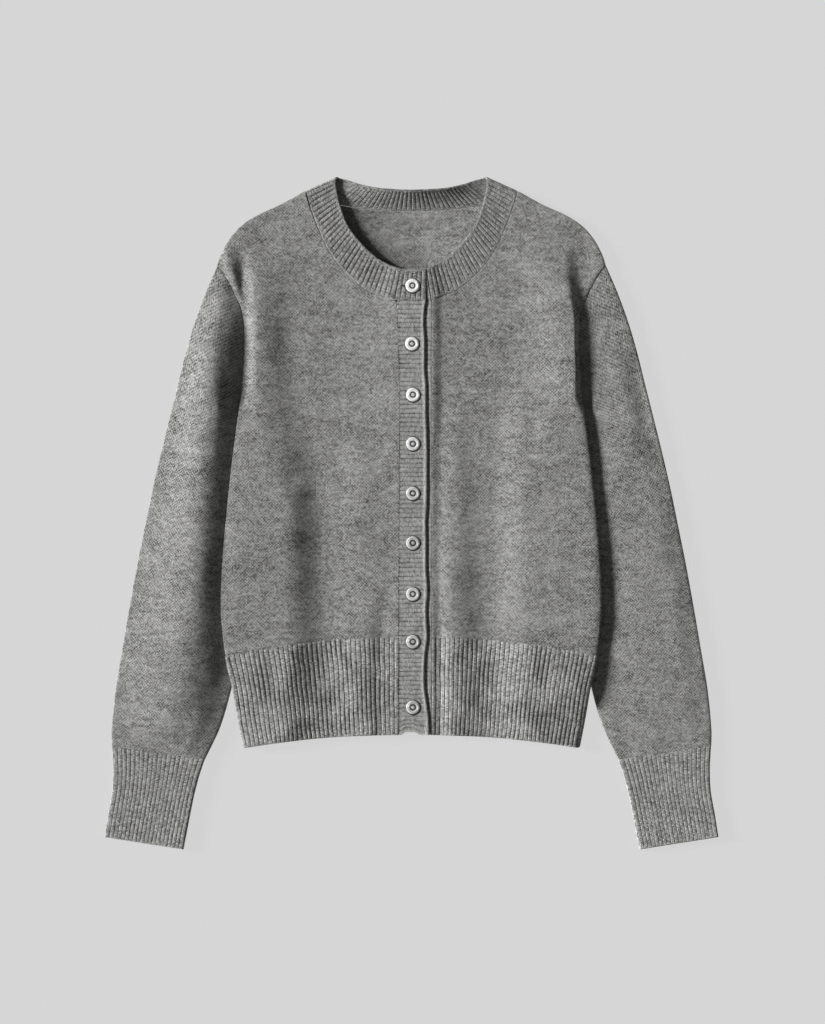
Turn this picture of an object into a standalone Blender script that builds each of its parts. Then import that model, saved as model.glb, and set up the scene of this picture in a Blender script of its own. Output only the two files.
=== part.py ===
"""Button cardigan in fine grey jersey, laid flat on its back with all nine buttons fastened.

Lengths here are millimetres and become metres when a mesh is made. X runs across the garment,
+Y towards the neck and +Z up from the surface that it lies on. Tables of one half give distances
from the centre line, and SIDES says which half each is used on: the wearer's right lies at -X
and laps over the wearer's left.
"""

import bisect
import collections
import math

import bmesh
import bpy
from mathutils import Vector

MM = 0.001
SIDES = {"right": -1, "left": 1}


def table(columns, *rows):
    """Rows with named columns."""
    row_type = collections.namedtuple("Row", columns)
    return [row_type(*row) for row in rows]


# Cloth, in section
KNIT = 2.2  # wall of the jersey
RIB_WALL = 2.0  # wall under the ribs
RIB_RISE = 1.0  # height of a rib over its wall
SEAM = 0.3  # gap between two pieces at a seam
CURL = 5.0  # how far in from its edge a front starts to turn down
EDGE_WALL = 1.0  # wall left at the turned edge
TURN_ANGLES = (90, 50, 22, 0)  # round the turned edge, in degrees
LAYER_GAP = 1.0  # between front and back where no fold parts them
SLEEVE_NIP = 0.8  # between the layers of a sleeve where the body lies on it
OVER_SLEEVE = 5.7  # how high the body's lower layer passes over the sleeve

# Outline of one half
BODY_SIDE = table(
    "y x",
    (-245, 171.5), (-239.7, 172.4), (-212, 177.3), (-178, 182.3), (-144.8, 189.2),
    (-127.5, 191.8), (-101, 194.0), (-73.4, 193.8), (-45.9, 192.4), (1, 188.3),
    (54, 182.6), (77.5, 179.5), (110, 175.2), (123.4, 173.9), (140.8, 172.9),
    (156, 171.9), (176.5, 171.4), (196.9, 172.4), (210, 174.9), (220.3, 179.5),
    (231.5, 184.6), (241.7, 190.7), (252.5, 198.4),
)  # fmt: skip
UNDERARM = (174.0, 122.0)
SHOULDER_TIP = (198.4, 252.5)
NECK_POINT = (108.6, 328.4)
SHOULDER = table(
    "x y",
    NECK_POINT, (134.6, 314.2), (157.1, 304.0), (174.4, 292.7), (186.7, 278.5),
    (194.8, 263.2), SHOULDER_TIP,
)  # fmt: skip
NECK_SEAM = table(
    "x y",
    (15.6, 216.8), (30, 220.6), (46, 227.5), (64.5, 241.7), (78.5, 258.0),
    (88.3, 274.4), (96.0, 291.7), (104.0, 313.1), NECK_POINT,
)  # fmt: skip
NECK_EDGE = table(
    "x y",
    (0, 248.8), (10, 249.2), (24, 254.0), (39.5, 264.2), (54.6, 279.5),
    (65.8, 295.8), (72.4, 314.2), (76.3, 331.5), (77.0, 342.7),
)  # fmt: skip
BACK_NECK_SEAM = table(
    "x y",
    (0, 308.0), (20, 308.4), (40, 309.7), (60, 312.2), (76, 315.2), (88, 318.9),
    (99, 323.4), NECK_POINT,
)  # fmt: skip
BACK_NECK_EDGE = table(
    "x y z",
    (0, 329.0, 16.5), (18, 329.8, 15.8), (36, 331.6, 13.0), (53, 335.6, 7.5),
    (65, 339.7, 3.0), (77.0, 342.7, 1.0),
)  # fmt: skip

# The hem rib hangs from a line that dips to the sides, and so does its lower edge.
HEM_TOP = (-126.3, 18.5, 186.0)  # y at the centre, dip, half width where it is reached
HEM_BOTTOM = (-226.3, 13.6, 171.0)
HEM_CURVE = 2.2  # power of both dips

# Front edges: the buttonhole band lies on the button band and has a wavy edge.
LAP = table(
    "y seam edge",
    (250, -15.2, 13.0), (217, -15.0, 13.0), (180, -13.2, 13.6), (120, -11.8, 13.8),
    (0, -12.2, 13.4), (-60, -12.6, 14.0), (-130, -12.8, 12.8), (-161, -12.8, 12.9),
    (-181, -12.8, 13.9), (-198, -12.8, 15.6), (-230, -12.8, 16.8),
)  # fmt: skip
BUTTON_BAND = (-5.0, 20.5)  # left edge and seam of the band below
BAND_TOP_Y = 216.0
LOW_BAND_Z = 2.6  # underside of the button band
HIGH_BAND_Z = 5.8  # underside of the buttonhole band
BAND_RIBS = 96
BAND_RIB_RISE = 0.7

# Soft folds that the body's two layers share. The line of a fold runs from top to bottom; rise
# is how far it lifts the lower layer, slack how far it parts the upper layer from that.
FOLDS = table(
    "x_top y_top x_bottom y_bottom half_width rise slack",
    (-46, 110, -50, -320, 36, 2.6, 2.3),
    (44, 112, 47, -320, 22, 2.7, 2.8),
    (-134, 150, -136, -320, 34, 2.2, 1.9),
    (118, 160, 120, -320, 34, 2.4, 2.2),
    (-157, 280, -159, 96, 13, 0.0, 2.3),
    (157, 280, 160, 96, 12, 0.0, 2.3),
    (-72, 300, -82, 86, 44, 0.0, 1.9),
    (74, 300, 82, 86, 44, 0.0, 1.9),
)
FOLD_FADE = 60.0  # length over which a fold dies away at its ends
SIDE_SLACK = (1.6, 26.0, 30.0)  # gap inside the body's side: size, place, half width

# How far the sleeve's inner edge lies under the body, from the body's side.
TUCK = table(
    "y width",
    (-300, 8), (-178, 8), (-150, 14), (-125, 25), (-89, 35.6), (-50, 43.2), (-20, 45.5),
    (13, 41.5), (40, 31.5), (60, 20.5), (80, 9.5), (98, 8), (300, 8),
)  # fmt: skip
TUCK_RAMP = 38.0  # width over which the body climbs on to the sleeve
FULL_CLIMB = {-1: 16.0, 1: 28.0}  # how far before the sleeve's edge it is fully up, on each side
CLIMB = (60, 46, 32, 16)  # columns over that climb, before the sleeve's edge
EVEN_COLUMNS = 7  # and from the front edge to where it begins

# Rows of a body panel, from the hem up. inner is a y on the front edge, or a place in NECK_SEAM
# once neck is 1. hem is how much of the hem line's dip a row takes, and crown how much of its
# height is left as the cloth turns down at the shoulder.
PANEL_ROWS = table(
    "inner outer_y neck hem crown",
    (-135, -135, 0, 1.0, 1), (-112, -112, 0, 0.5, 1), (-85, -85, 0, 0.15, 1),
    (-50, -50, 0, 0, 1), (-20, -20, 0, 0, 1), (13, 13, 0, 0, 1), (40, 40, 0, 0, 1),
    (60, 60, 0, 0, 1), (80, 80, 0, 0, 1), (98, 98, 0, 0, 1), (122, 122, 0, 0, 1),
    (154, 141, 0, 0, 1), (187, 161, 0, 0, 1), (0, 180, 1, 0, 1), (1, 192, 1, 0, 1),
    (2, 203, 1, 0, 1), (3, 213.5, 1, 0, 1), (4, 223, 1, 0, 1), (5, 232.5, 1, 0, 1),
    (6, 241, 1, 0, 1), (7, 246.8, 1, 0, 1), (7.8, 249.6, 1, 0, 0.75),
    (7.93, 251.4, 1, 0, 0),
)  # fmt: skip

# Sleeve: one row for each ring. A soft fold runs down each sleeve: its crest and the place where
# the body or the inner edge ends it are shares of the way in from the outer edge.
SLEEVE_OUTER = table(
    "y x",
    (252.5, 198.8), (227.5, 209.6), (197, 220.8), (166, 230.0), (135.7, 237.5),
    (105, 245.2), (64.3, 255.3), (23.5, 264.7), (-17, 273.0), (-58, 281.2),
    (-99, 288.6), (-140, 295.6), (-180.5, 302.3), (-221, 306.2), (-240, 306.0),
)  # fmt: skip
SLEEVE_INNER = table(
    "y x",
    (122, 174.5), (114, 175.2), (105, 176.4), (94, 175.8), (80, 171.4), (60, 162.6),
    (40, 153.8), (13, 147.0), (-20, 145.6), (-50, 150.4), (-89, 159.2), (-125, 168.2),
    (-150, 176.4), (-178, 183.4), (-200, 189.2), (-222, 196.6), (-251.5, 210.8),
)  # fmt: skip
SLEEVE_RINGS = table(
    "outer_y inner_y bend right_crest right_height left_crest left_height flat",
    (252.5, 122, 1.0, 0.40, 0.3, 0.40, 0.3, 0.95), (230, 114, 0.80, 0.36, 3.6, 0.38, 1.9, 0.95),
    (204, 105, 0.60, 0.35, 7.0, 0.38, 3.0, 0.95), (175, 94, 0.42, 0.365, 9.6, 0.40, 3.5, 0.945),
    (144, 79, 0.26, 0.395, 11.1, 0.43, 3.6, 0.855), (111, 61, 0.13, 0.405, 12.1, 0.435, 3.6, 0.76),
    (76, 39, 0.05, 0.40, 12.8, 0.425, 3.6, 0.68), (40, 11, 0, 0.40, 13.2, 0.42, 3.6, 0.635),
    (4, -20, 0, 0.405, 13.3, 0.43, 3.6, 0.625), (-32, -51, 0, 0.43, 13.3, 0.465, 3.6, 0.65),
    (-70, -88, 0, 0.475, 13.1, 0.51, 3.6, 0.70), (-106, -124, 0, 0.505, 12.6, 0.555, 3.6, 0.78),
    (-135, -151, 0, 0.535, 11.9, 0.585, 3.6, 0.885), (-163, -177, 0, 0.545, 10.8, 0.595, 3.3, 0.945),
    (-188, -200, 0, 0.535, 9.2, 0.585, 2.9, 0.95), (-213, -224, 0, 0.525, 6.4, 0.565, 1.9, 0.95),
    (-237.6, -251.4, 0, 0.525, 1.2, 0.545, 0.6, 0.95),
)  # fmt: skip
FOLD_END = 0.01  # share of the width by which the fold ends before the body
SLEEVE_SLACK = 2.4  # the most that a fold parts the sleeve's layers; the rest lifts both
TO_CREST = (0.3, 0.6, 0.82, 1.0)  # columns up to the crest, as shares of the way there
TO_FLAT = (0.4, 0.75, 1.0)  # and from it to the end of the fold
TO_INNER = (0.5, 1.0)  # and from there to the inner edge
LAST_COLUMN = 0.95
UNDER_COLUMNS = (7, 6, 5, 4, 3, 1, 0)  # those of the top that the underside has, from the inner edge
NOSE_ANGLES = (-90, -30, 30, 90)  # round the edge of a flattened tube, in degrees

# Cuff: one row for each ring, outer corner and inner corner.
CUFF_RINGS = table(
    "outer_x outer_y inner_x inner_y",
    (305.6, -238.1, 211.2, -251.9), (304.6, -262, 216.8, -269),
    (305.6, -284, 222.2, -290), (309.6, -307, 227.0, -314),
    (313.4, -330.6, 232.6, -343.3),
)  # fmt: skip
CUFF_RIBS = 20
CUFF_NIP = 1.2
CUFF_UNDER = (0.9, 0.7, 0.5, 0.3, 0.1)

HEM_RIBS = 36
HEM_ROWS = 5
NECK_RIBS_FRONT = 34
NECK_RIBS_BACK = 32
NECK_FOLD_RADIUS = 1.6  # of the wall's middle, where the neckband folds at the shoulder
NECK_FOLD_STEPS = 5
NECK_EDGE_RISE = 1.2  # of the front neck edge over its seam

BUTTONS = table(
    "x y",
    (1.0, 231.5), (0.5, 172.4), (1.5, 120.4), (1.5, 70.4), (1.5, 19.9), (1.5, -30.6),
    (1.5, -82.6), (1.5, -131.1), (1.5, -197.9),
)  # fmt: skip
BUTTON_PROFILE = table(
    "r z",
    (0, 1.3), (2.3, 1.3), (2.9, 1.9), (5.0, 2.0), (5.8, 2.7), (6.6, 2.6), (7.15, 1.6),
    (6.2, 0.0), (0, 0.0),
)  # fmt: skip
BUTTON_STEPS = 14

COLOURS = table(
    "name colour roughness",
    ("jersey", (0.235, 0.235, 0.233), 0.95),
    ("rib", (0.26, 0.26, 0.258), 0.95),
    ("shell", (0.62, 0.62, 0.61), 0.35),
)


def smooth(share):
    share = min(max(share, 0.0), 1.0)
    return share * share * (3 - 2 * share)


def bump(distance, half_width):
    """1 on a fold's line, falling to exactly 0 at its half width."""
    share = distance / half_width
    return (1 - share * share) ** 2 if abs(share) < 1 else 0.0


class Line:
    """A smooth line through rows of numbers, read by the first column when keyed, and else by
    the share of its length."""

    def __init__(self, rows, keyed=False):
        self.rows = [tuple(row) for row in rows]
        if keyed:
            self.rows.sort()
            self.keys = [row[0] for row in self.rows]
            return
        self.keys = [0.0]
        for a, b in zip(self.rows, self.rows[1:]):
            self.keys.append(self.keys[-1] + math.dist(a[:2], b[:2]))
        self.keys = [key / self.keys[-1] for key in self.keys]

    def slope(self, i, column):
        low, high = max(i - 1, 0), min(i + 1, len(self.rows) - 1)
        change = self.rows[high][column] - self.rows[low][column]
        return change / (self.keys[high] - self.keys[low])

    def at(self, key, column=1):
        i = min(max(bisect.bisect_right(self.keys, key) - 1, 0), len(self.keys) - 2)
        step = self.keys[i + 1] - self.keys[i]
        t = (key - self.keys[i]) / step
        return (
            (2 * t**3 - 3 * t**2 + 1) * self.rows[i][column]
            + (t**3 - 2 * t**2 + t) * step * self.slope(i, column)
            + (3 * t**2 - 2 * t**3) * self.rows[i + 1][column]
            + (t**3 - t**2) * step * self.slope(i + 1, column)
        )

    def beside(self, share, distance=0.0):
        """A point beside the line, to the right of its direction."""
        place = Vector((self.at(share, 0), self.at(share, 1)))
        low, high = max(share - 1e-3, 0), min(share + 1e-3, 1)
        along = Vector([self.at(high, k) - self.at(low, k) for k in (0, 1)]).normalized()
        return place + Vector((along.y, -along.x)) * distance


class Seam:
    """Straight stitches through rows of points, so that the pieces on its two sides share its
    corners."""

    def __init__(self, rows, distance):
        """The line moved by distance to the right of its direction."""
        places = [Vector(row[:2]) for row in rows]
        self.corners = []
        for i, place in enumerate(places):
            along = places[min(i + 1, len(places) - 1)] - places[max(i - 1, 0)]
            along.normalize()
            self.corners.append(place + Vector((along.y, -along.x)) * distance)
        self.reach = [0.0]
        for a, b in zip(self.corners, self.corners[1:]):
            self.reach.append(self.reach[-1] + (b - a).length)

    def corner(self, number):
        i = min(int(number), len(self.corners) - 2)
        return self.corners[i].lerp(self.corners[i + 1], number - i)

    def at(self, share):
        reach = share * self.reach[-1]
        i = min(max(bisect.bisect_right(self.reach, reach) - 1, 0), len(self.reach) - 2)
        part = (reach - self.reach[i]) / (self.reach[i + 1] - self.reach[i])
        return self.corners[i].lerp(self.corners[i + 1], part)


body_side = Line(BODY_SIDE, keyed=True)
tuck = Line(TUCK, keyed=True)
sleeve_outer = Line(SLEEVE_OUTER, keyed=True)
sleeve_inner = Line(SLEEVE_INNER, keyed=True)
lap = Line(LAP, keyed=True)
shoulder = Line(SHOULDER)
armhole = Line([(row.x, row.y) for row in BODY_SIDE[:-10:-1]] + [UNDERARM])
neck_seam = Seam(NECK_SEAM, SEAM / 2)
back_neck_seam = Seam(BACK_NECK_SEAM, SEAM / 2)


def hem_line(line, half_x):
    centre_y, dip, reach = line
    return centre_y - dip * (abs(half_x) / reach) ** HEM_CURVE


def fold_share(fold, x, y):
    """How much of a fold is at a point: all on its line, none past its width or its ends."""
    down = (fold.y_top - y) / (fold.y_top - fold.y_bottom)
    line_x = fold.x_top + (fold.x_bottom - fold.x_top) * down
    ends = smooth((fold.y_top - y) / FOLD_FADE) * smooth((y - fold.y_bottom) / FOLD_FADE)
    return bump(x - line_x, fold.half_width) * ends


def rise(x, y):
    """Height of the body's underside: on the sleeve's inner part, and in the folds."""
    full = body_side.at(y) - tuck.at(y) - FULL_CLIMB[-1 if x < 0 else 1]
    across = smooth((abs(x) - full) / TUCK_RAMP + 1)
    along = smooth((UNDERARM[1] - 2 - y) / 22) * smooth((y + 222) / 40)
    folds = sum(fold.rise * fold_share(fold, x, y) for fold in FOLDS)
    return max(OVER_SLEEVE * across * along, folds * (1 - across * along))


def slack(x, y):
    """Gap between the body's two layers."""
    size, place, half_width = SIDE_SLACK
    side = size * bump(abs(x) - body_side.at(min(y, 200)) + place, half_width)
    side *= smooth((120 - y) / 40)
    folds = max(fold.slack * fold_share(fold, x, y) for fold in FOLDS)
    hem = 0.35 + 0.65 * smooth((y - hem_line(HEM_TOP, x)) / 16)
    return LAYER_GAP + max(folds, side) * hem


def under_front(x, y):
    """Height of a front's underside. Towards the lapped edges it comes to the height of the
    bands, so that the right front lies on the left."""
    height = rise(x, y) + KNIT + slack(x, y)
    if x < 0:
        return height + (HIGH_BAND_Z - height) * smooth(1 - (abs(x) - 13) / 24)
    return height + (LOW_BAND_Z + 0.1 - height) * smooth(1 - (x - 21) / 14)


def front_faces(x, y, thickness, share):
    """Heights of a front's two faces. share is 1 before its turned edge and 0 at its end."""
    low = rise(x, y) + KNIT + SEAM
    flat = under_front(x, y)
    high = low + EDGE_WALL
    return low + (flat - low) * share, high + (flat + thickness - high) * share


def make_object(name, bm, material):
    bmesh.ops.recalc_face_normals(bm, faces=bm.faces)
    mesh = bpy.data.meshes.new(name)
    bm.to_mesh(mesh)
    bm.free()
    mesh.shade_smooth()
    mesh.set_sharp_from_angle(angle=math.radians(50))
    mesh.materials.append(materials[material])
    obj = bpy.data.objects.new(name, mesh)
    collection.objects.link(obj)
    return obj


def skin(bm, rows, closed):
    """Faces over a grid of points, and the grid of their vertices."""
    verts = [[bm.verts.new(point * MM) for point in row] for row in rows]
    if closed:
        verts = [row + row[:1] for row in verts]
    for low, high in zip(verts, verts[1:]):
        for a, b, c, d in zip(low, low[1:], high[1:], high):
            bm.faces.new((a, b, c, d))
    return verts


def zip_edge(bm, a, b, a_keys, b_keys):
    """Closes the strip between two rows of vertices that share only some of their places."""
    i = j = 0
    while i < len(a) - 1 or j < len(b) - 1:
        step_a = abs(a_keys[i + 1] - b_keys[j]) if i < len(a) - 1 else math.inf
        step_b = abs(b_keys[j + 1] - a_keys[i]) if j < len(b) - 1 else math.inf
        if step_a <= step_b:
            bm.faces.new((a[i], a[i + 1], b[j]))
            i += 1
        else:
            bm.faces.new((a[i], b[j + 1], b[j]))
            j += 1


def shell(name, outer, inner, material, keep=None, closed=False):
    """A wall of cloth between two grids of points, in rows, or in rings when closed. keep lists
    the columns that the inner face has."""
    columns = len(outer[0])
    outer_keys, inner_keys = list(range(columns)), list(keep or range(columns))
    bm = bmesh.new()
    outer_verts = skin(bm, outer, closed)
    inner_verts = skin(bm, [[row[c] for c in inner_keys] for row in inner], closed)
    if closed:
        outer_keys.append(columns)
        inner_keys.append(columns)
    for r in (0, -1):
        zip_edge(bm, outer_verts[r], inner_verts[r], outer_keys, inner_keys)
    if not closed:
        rows = list(range(len(outer)))
        for c in (0, -1):
            ends = [[row[c] for row in verts] for verts in (outer_verts, inner_verts)]
            zip_edge(bm, *ends, rows, rows)
    return make_object(name, bm, material)


def lying(name, rows, material, keep=None, rib=None):
    """A wall of cloth from rows of x, y and the heights of its lower and upper faces. rib(c)
    raises the upper face of a column."""
    upper = [
        [Vector((x, y, high + (rib(c) if rib else 0))) for c, (x, y, _, high) in enumerate(row)]
        for row in rows
    ]
    lower = [[Vector((x, y, low)) for x, y, low, _ in row] for row in rows]
    return shell(name, upper, lower, material, keep)


def turned_columns(start, edge, count):
    """Even columns from start to where an edge turns down, and closer ones round the turn, each
    with how much of the height it keeps."""
    turn = edge - CURL
    columns = [(start + (turn - start) * k / count, 1.0) for k in range(count)]
    for angle in map(math.radians, TURN_ANGLES):
        columns.append((turn + CURL * math.cos(angle), math.sin(angle)))
    return columns


def panel_columns(start, side_y, inset, turns):
    """Columns of a body panel: evenly to where it climbs on to the sleeve, closely over the
    climb, and then to its side."""
    side = body_side.at(side_y)
    sleeve = side - tuck.at(side_y)
    flat = sleeve - CLIMB[0]
    columns = [(start + (flat - start) * k / EVEN_COLUMNS, 1.0) for k in range(EVEN_COLUMNS)]
    columns += [(sleeve - step, 1.0) for step in CLIMB]
    if turns:
        return columns + turned_columns(columns[-1][0], side - inset, 2)[1:]
    return columns + [((columns[-1][0] + side - CURL) / 2, 1.0), (side - inset, 1.0)]


def panel(row_start, top, inset, faces, turns):
    """Half a body panel as rows of x, y, low and high, from its inner edge to its side.
    row_start(row) is the inner point of a row, top(column, share) a point of the upper edge,
    and faces(x, y, share) the heights, all on the +X side."""
    last = PANEL_ROWS[-1]
    last_start = row_start(last)
    last_columns = panel_columns(last_start.x, last.outer_y, inset, turns)
    tip = Vector((last_columns[-1][0], last.outer_y))
    rows = []
    for row in PANEL_ROWS:
        start = row_start(row)
        side_y = row.outer_y + row.hem * (hem_line(HEM_TOP, 190) - row.outer_y)
        columns = panel_columns(start.x, side_y, inset, turns)
        grown = (row.inner / last.inner) ** 1.5 if row.neck else 0.0
        points = []
        for c, (x, turn) in enumerate(columns):
            share = (x - start.x) / (columns[-1][0] - start.x)
            place = Vector((x, start.y + (row.outer_y - start.y) * share))
            if row.hem:
                place.y += row.hem * (hem_line(HEM_TOP, x) + SEAM / 2 - row.outer_y)
            if 0 < c < len(columns) - 1:
                last_share = (last_columns[c][0] - last_start.x) / (tip.x - last_start.x)
                place += (top(c, last_share) - last_start.lerp(tip, last_share)) * grown
            points.append((*place, *faces(*place, turn * row.crown)))
        rows.append(points)
    return rows


def mirrored(rows, side):
    return [[(side * x, *rest) for x, *rest in row] for row in rows]


def front_panel(name, side):
    inset = SEAM / 2 + 0.05

    def row_start(row):
        edge = SEAM - lap.at(row.inner) if side < 0 else BUTTON_BAND[1] + SEAM
        if not row.neck:
            return Vector((edge, row.inner))
        place = neck_seam.corner(row.inner).copy()
        place.x = max(place.x, edge if row.inner < 1 else 0)
        return place

    def top(_, share):
        return shoulder.beside(share, inset)

    def faces(x, y, share):
        return front_faces(side * x, y, KNIT, share)

    rows = panel(row_start, top, inset, faces, turns=True)
    last = len(rows[0]) - 1
    keep = [c for c in range(last + 1) if c not in (last - 1, last - 2)]
    lying(name, mirrored(rows, side), "jersey", keep=keep)


def both_halves(make_rows):
    """The rows of a whole back piece from a function that makes those of one side's half."""
    right, left = (mirrored(make_rows(side), side) for side in SIDES.values())
    return [a[:0:-1] + b for a, b in zip(right, left)]


def back_faces(side, thickness):
    def faces(x, y, _=1.0):
        low = rise(side * x, y)
        return low, low + thickness

    return faces


def back_panel():
    inset = SEAM / 2 + 0.05

    def row_start(row):
        y = row.inner
        if row.neck:
            top_y = back_neck_seam.corners[0].y
            y = BAND_TOP_Y + (top_y - BAND_TOP_Y) * row.inner / PANEL_ROWS[-1].inner
        return Vector((0, y))

    def top(c, _):
        if c < EVEN_COLUMNS:
            return back_neck_seam.corner(c)
        if c == EVEN_COLUMNS:
            return shoulder.beside(0, 0.7)  # clear of the fold in the neckband
        return shoulder.beside((c - EVEN_COLUMNS) / (len(CLIMB) + 1), inset)

    def half(side):
        return panel(row_start, top, inset, back_faces(side, KNIT), turns=False)

    lying("back", both_halves(half), "jersey")


def hem_rows(columns_at, faces):
    """Half a hem rib as rows of x, y, low and high, from its lower edge up. columns_at(side_y)
    are its columns for a row whose side is at that y."""
    rows = []
    for r in range(HEM_ROWS):
        up = r / (HEM_ROWS - 1)
        low_y, high_y = hem_line(HEM_BOTTOM, 171), hem_line(HEM_TOP, 190)
        points = []
        for x, share in columns_at(low_y + (high_y - low_y) * up):
            low_y, high_y = hem_line(HEM_BOTTOM, x), hem_line(HEM_TOP, x) - SEAM / 2
            y = low_y + (high_y - low_y) * up
            points.append((x, y, *faces(x, y, share)))
        rows.append(points)
    return rows


def front_hem(name, side):
    start = SEAM - lap.at(-200) if side < 0 else BUTTON_BAND[1] + SEAM
    count = 2 * HEM_RIBS

    def columns_at(side_y):
        return turned_columns(start, body_side.at(side_y) - SEAM, count)

    def faces(x, y, share):
        return front_faces(side * x, y, RIB_WALL, share)

    keep = [*range(0, count, 4), count, count + len(TURN_ANGLES) - 1]
    lying(name, mirrored(hem_rows(columns_at, faces), side), "rib", keep=keep,
          rib=lambda c: RIB_RISE * (c % 2) * (c < count))  # fmt: skip


def back_hem():
    def columns_at(side_y):
        return panel_columns(0, side_y, SEAM, turns=False)

    def half(side):
        return hem_rows(columns_at, back_faces(side, RIB_WALL))

    lying("hem_back", both_halves(half), "rib")


def tube_faces(length, thickness, top, under, lift, gap, rib=None):
    """Section of a flattened tube: distances from its outer edge and heights, of its outer and
    its inner face, over the top and back along the underside. lift and gap give the height of
    its underside and the gap inside it at a share of its width."""
    outer, inner = [], []
    for end, shares in ((0, top), (1, under)):
        half = gap(end) / 2 + thickness
        turn = 1 - 2 * end
        for angle in map(math.radians, NOSE_ANGLES):
            for face, radius in ((outer, half), (inner, half - thickness)):
                distance = half - radius * math.cos(angle)
                face.append((end * length + turn * distance, half + turn * radius * math.sin(angle)))
        for i, share in enumerate(shares):
            low = lift(share)
            high = low + 2 * thickness + gap(share)
            if end == 0:
                outer.append((length * share, high + (rib(i) if rib else 0)))
                inner.append((length * share, high - thickness))
            else:
                outer.append((length * share, low))
                inner.append((length * share, low + thickness))
    return outer, inner


def tube(name, sections, place, material, side, keep=None):
    """A flattened tube from its sections, where place(ring, distance) is a point in plan."""
    faces = []
    for face in (0, 1):
        rings = []
        for r, section in enumerate(sections):
            ring = []
            for distance, z in section[face]:
                x, y = place(r, distance)
                ring.append(Vector((side * x, y, z)))
            rings.append(ring)
        faces.append(rings)
    shell(name, *faces, material, keep=keep, closed=True)


def between(start, end, parts):
    return [start + (end - start) * part for part in parts]


def sleeve(name, side):
    tip, underarm = armhole.beside(0), armhole.beside(1)
    ends, sections = [], []
    for row in SLEEVE_RINGS:
        outer = Vector((sleeve_outer.at(row.outer_y), row.outer_y))
        inner = Vector((sleeve_inner.at(row.inner_y), row.inner_y))
        ends.append((outer, inner))
        crest, height = (
            (row.right_crest, row.right_height) if side < 0 else (row.left_crest, row.left_height)
        )
        flat = row.flat - FOLD_END

        def fold(share, crest=crest, height=height, flat=flat):
            reach = crest if share < crest else flat - crest
            return height * math.cos(math.pi / 2 * min(abs(share - crest) / reach, 1.0))

        def lift(share, fold=fold):
            return max(fold(share) - SLEEVE_SLACK, 0.0)

        def gap(share, fold=fold):
            return SLEEVE_NIP + min(fold(share), SLEEVE_SLACK)

        top = between(0, crest, TO_CREST) + between(crest, flat, TO_FLAT)
        top += between(flat, max(flat, LAST_COLUMN) + FOLD_END, TO_INNER)
        under = [top[c] for c in UNDER_COLUMNS]
        length = (inner - outer).length
        sections.append(tube_faces(length, KNIT, top, under, lift, gap))

    def place(r, distance):
        outer, inner = ends[r]
        share = distance / (inner - outer).length
        bent = armhole.beside(share, -SEAM / 2 - 0.1) - tip.lerp(underarm, share)
        return outer.lerp(inner, share) + bent * SLEEVE_RINGS[r].bend

    tube(name, sections, place, "jersey", side)


def cuff(name, side):
    count = 2 * CUFF_RIBS
    ends, sections = [], []
    for row in CUFF_RINGS:
        outer = Vector((row.outer_x, row.outer_y))
        inner = Vector((row.inner_x, row.inner_y))
        ends.append((outer, inner))
        length = (inner - outer).length
        nose = (CUFF_NIP / 2 + RIB_WALL) / length
        top = [nose + (1 - 2 * nose) * k / count for k in range(1, count)]
        sections.append(
            tube_faces(length, RIB_WALL, top, CUFF_UNDER, lambda _: 0.0, lambda _: CUFF_NIP,
                       rib=lambda i: RIB_RISE * (i % 2 == 0))
        )  # fmt: skip

    def place(r, distance):
        outer, inner = ends[r]
        return outer.lerp(inner, distance / (inner - outer).length)

    first = len(NOSE_ANGLES)
    ribs = range(first, first + count - 1)
    columns = range(2 * first + count - 1 + len(CUFF_UNDER))
    keep = [c for c in columns if c not in ribs or (c - first) % 4 == 1]
    tube(name, sections, place, "rib", side, keep=keep)


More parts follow.
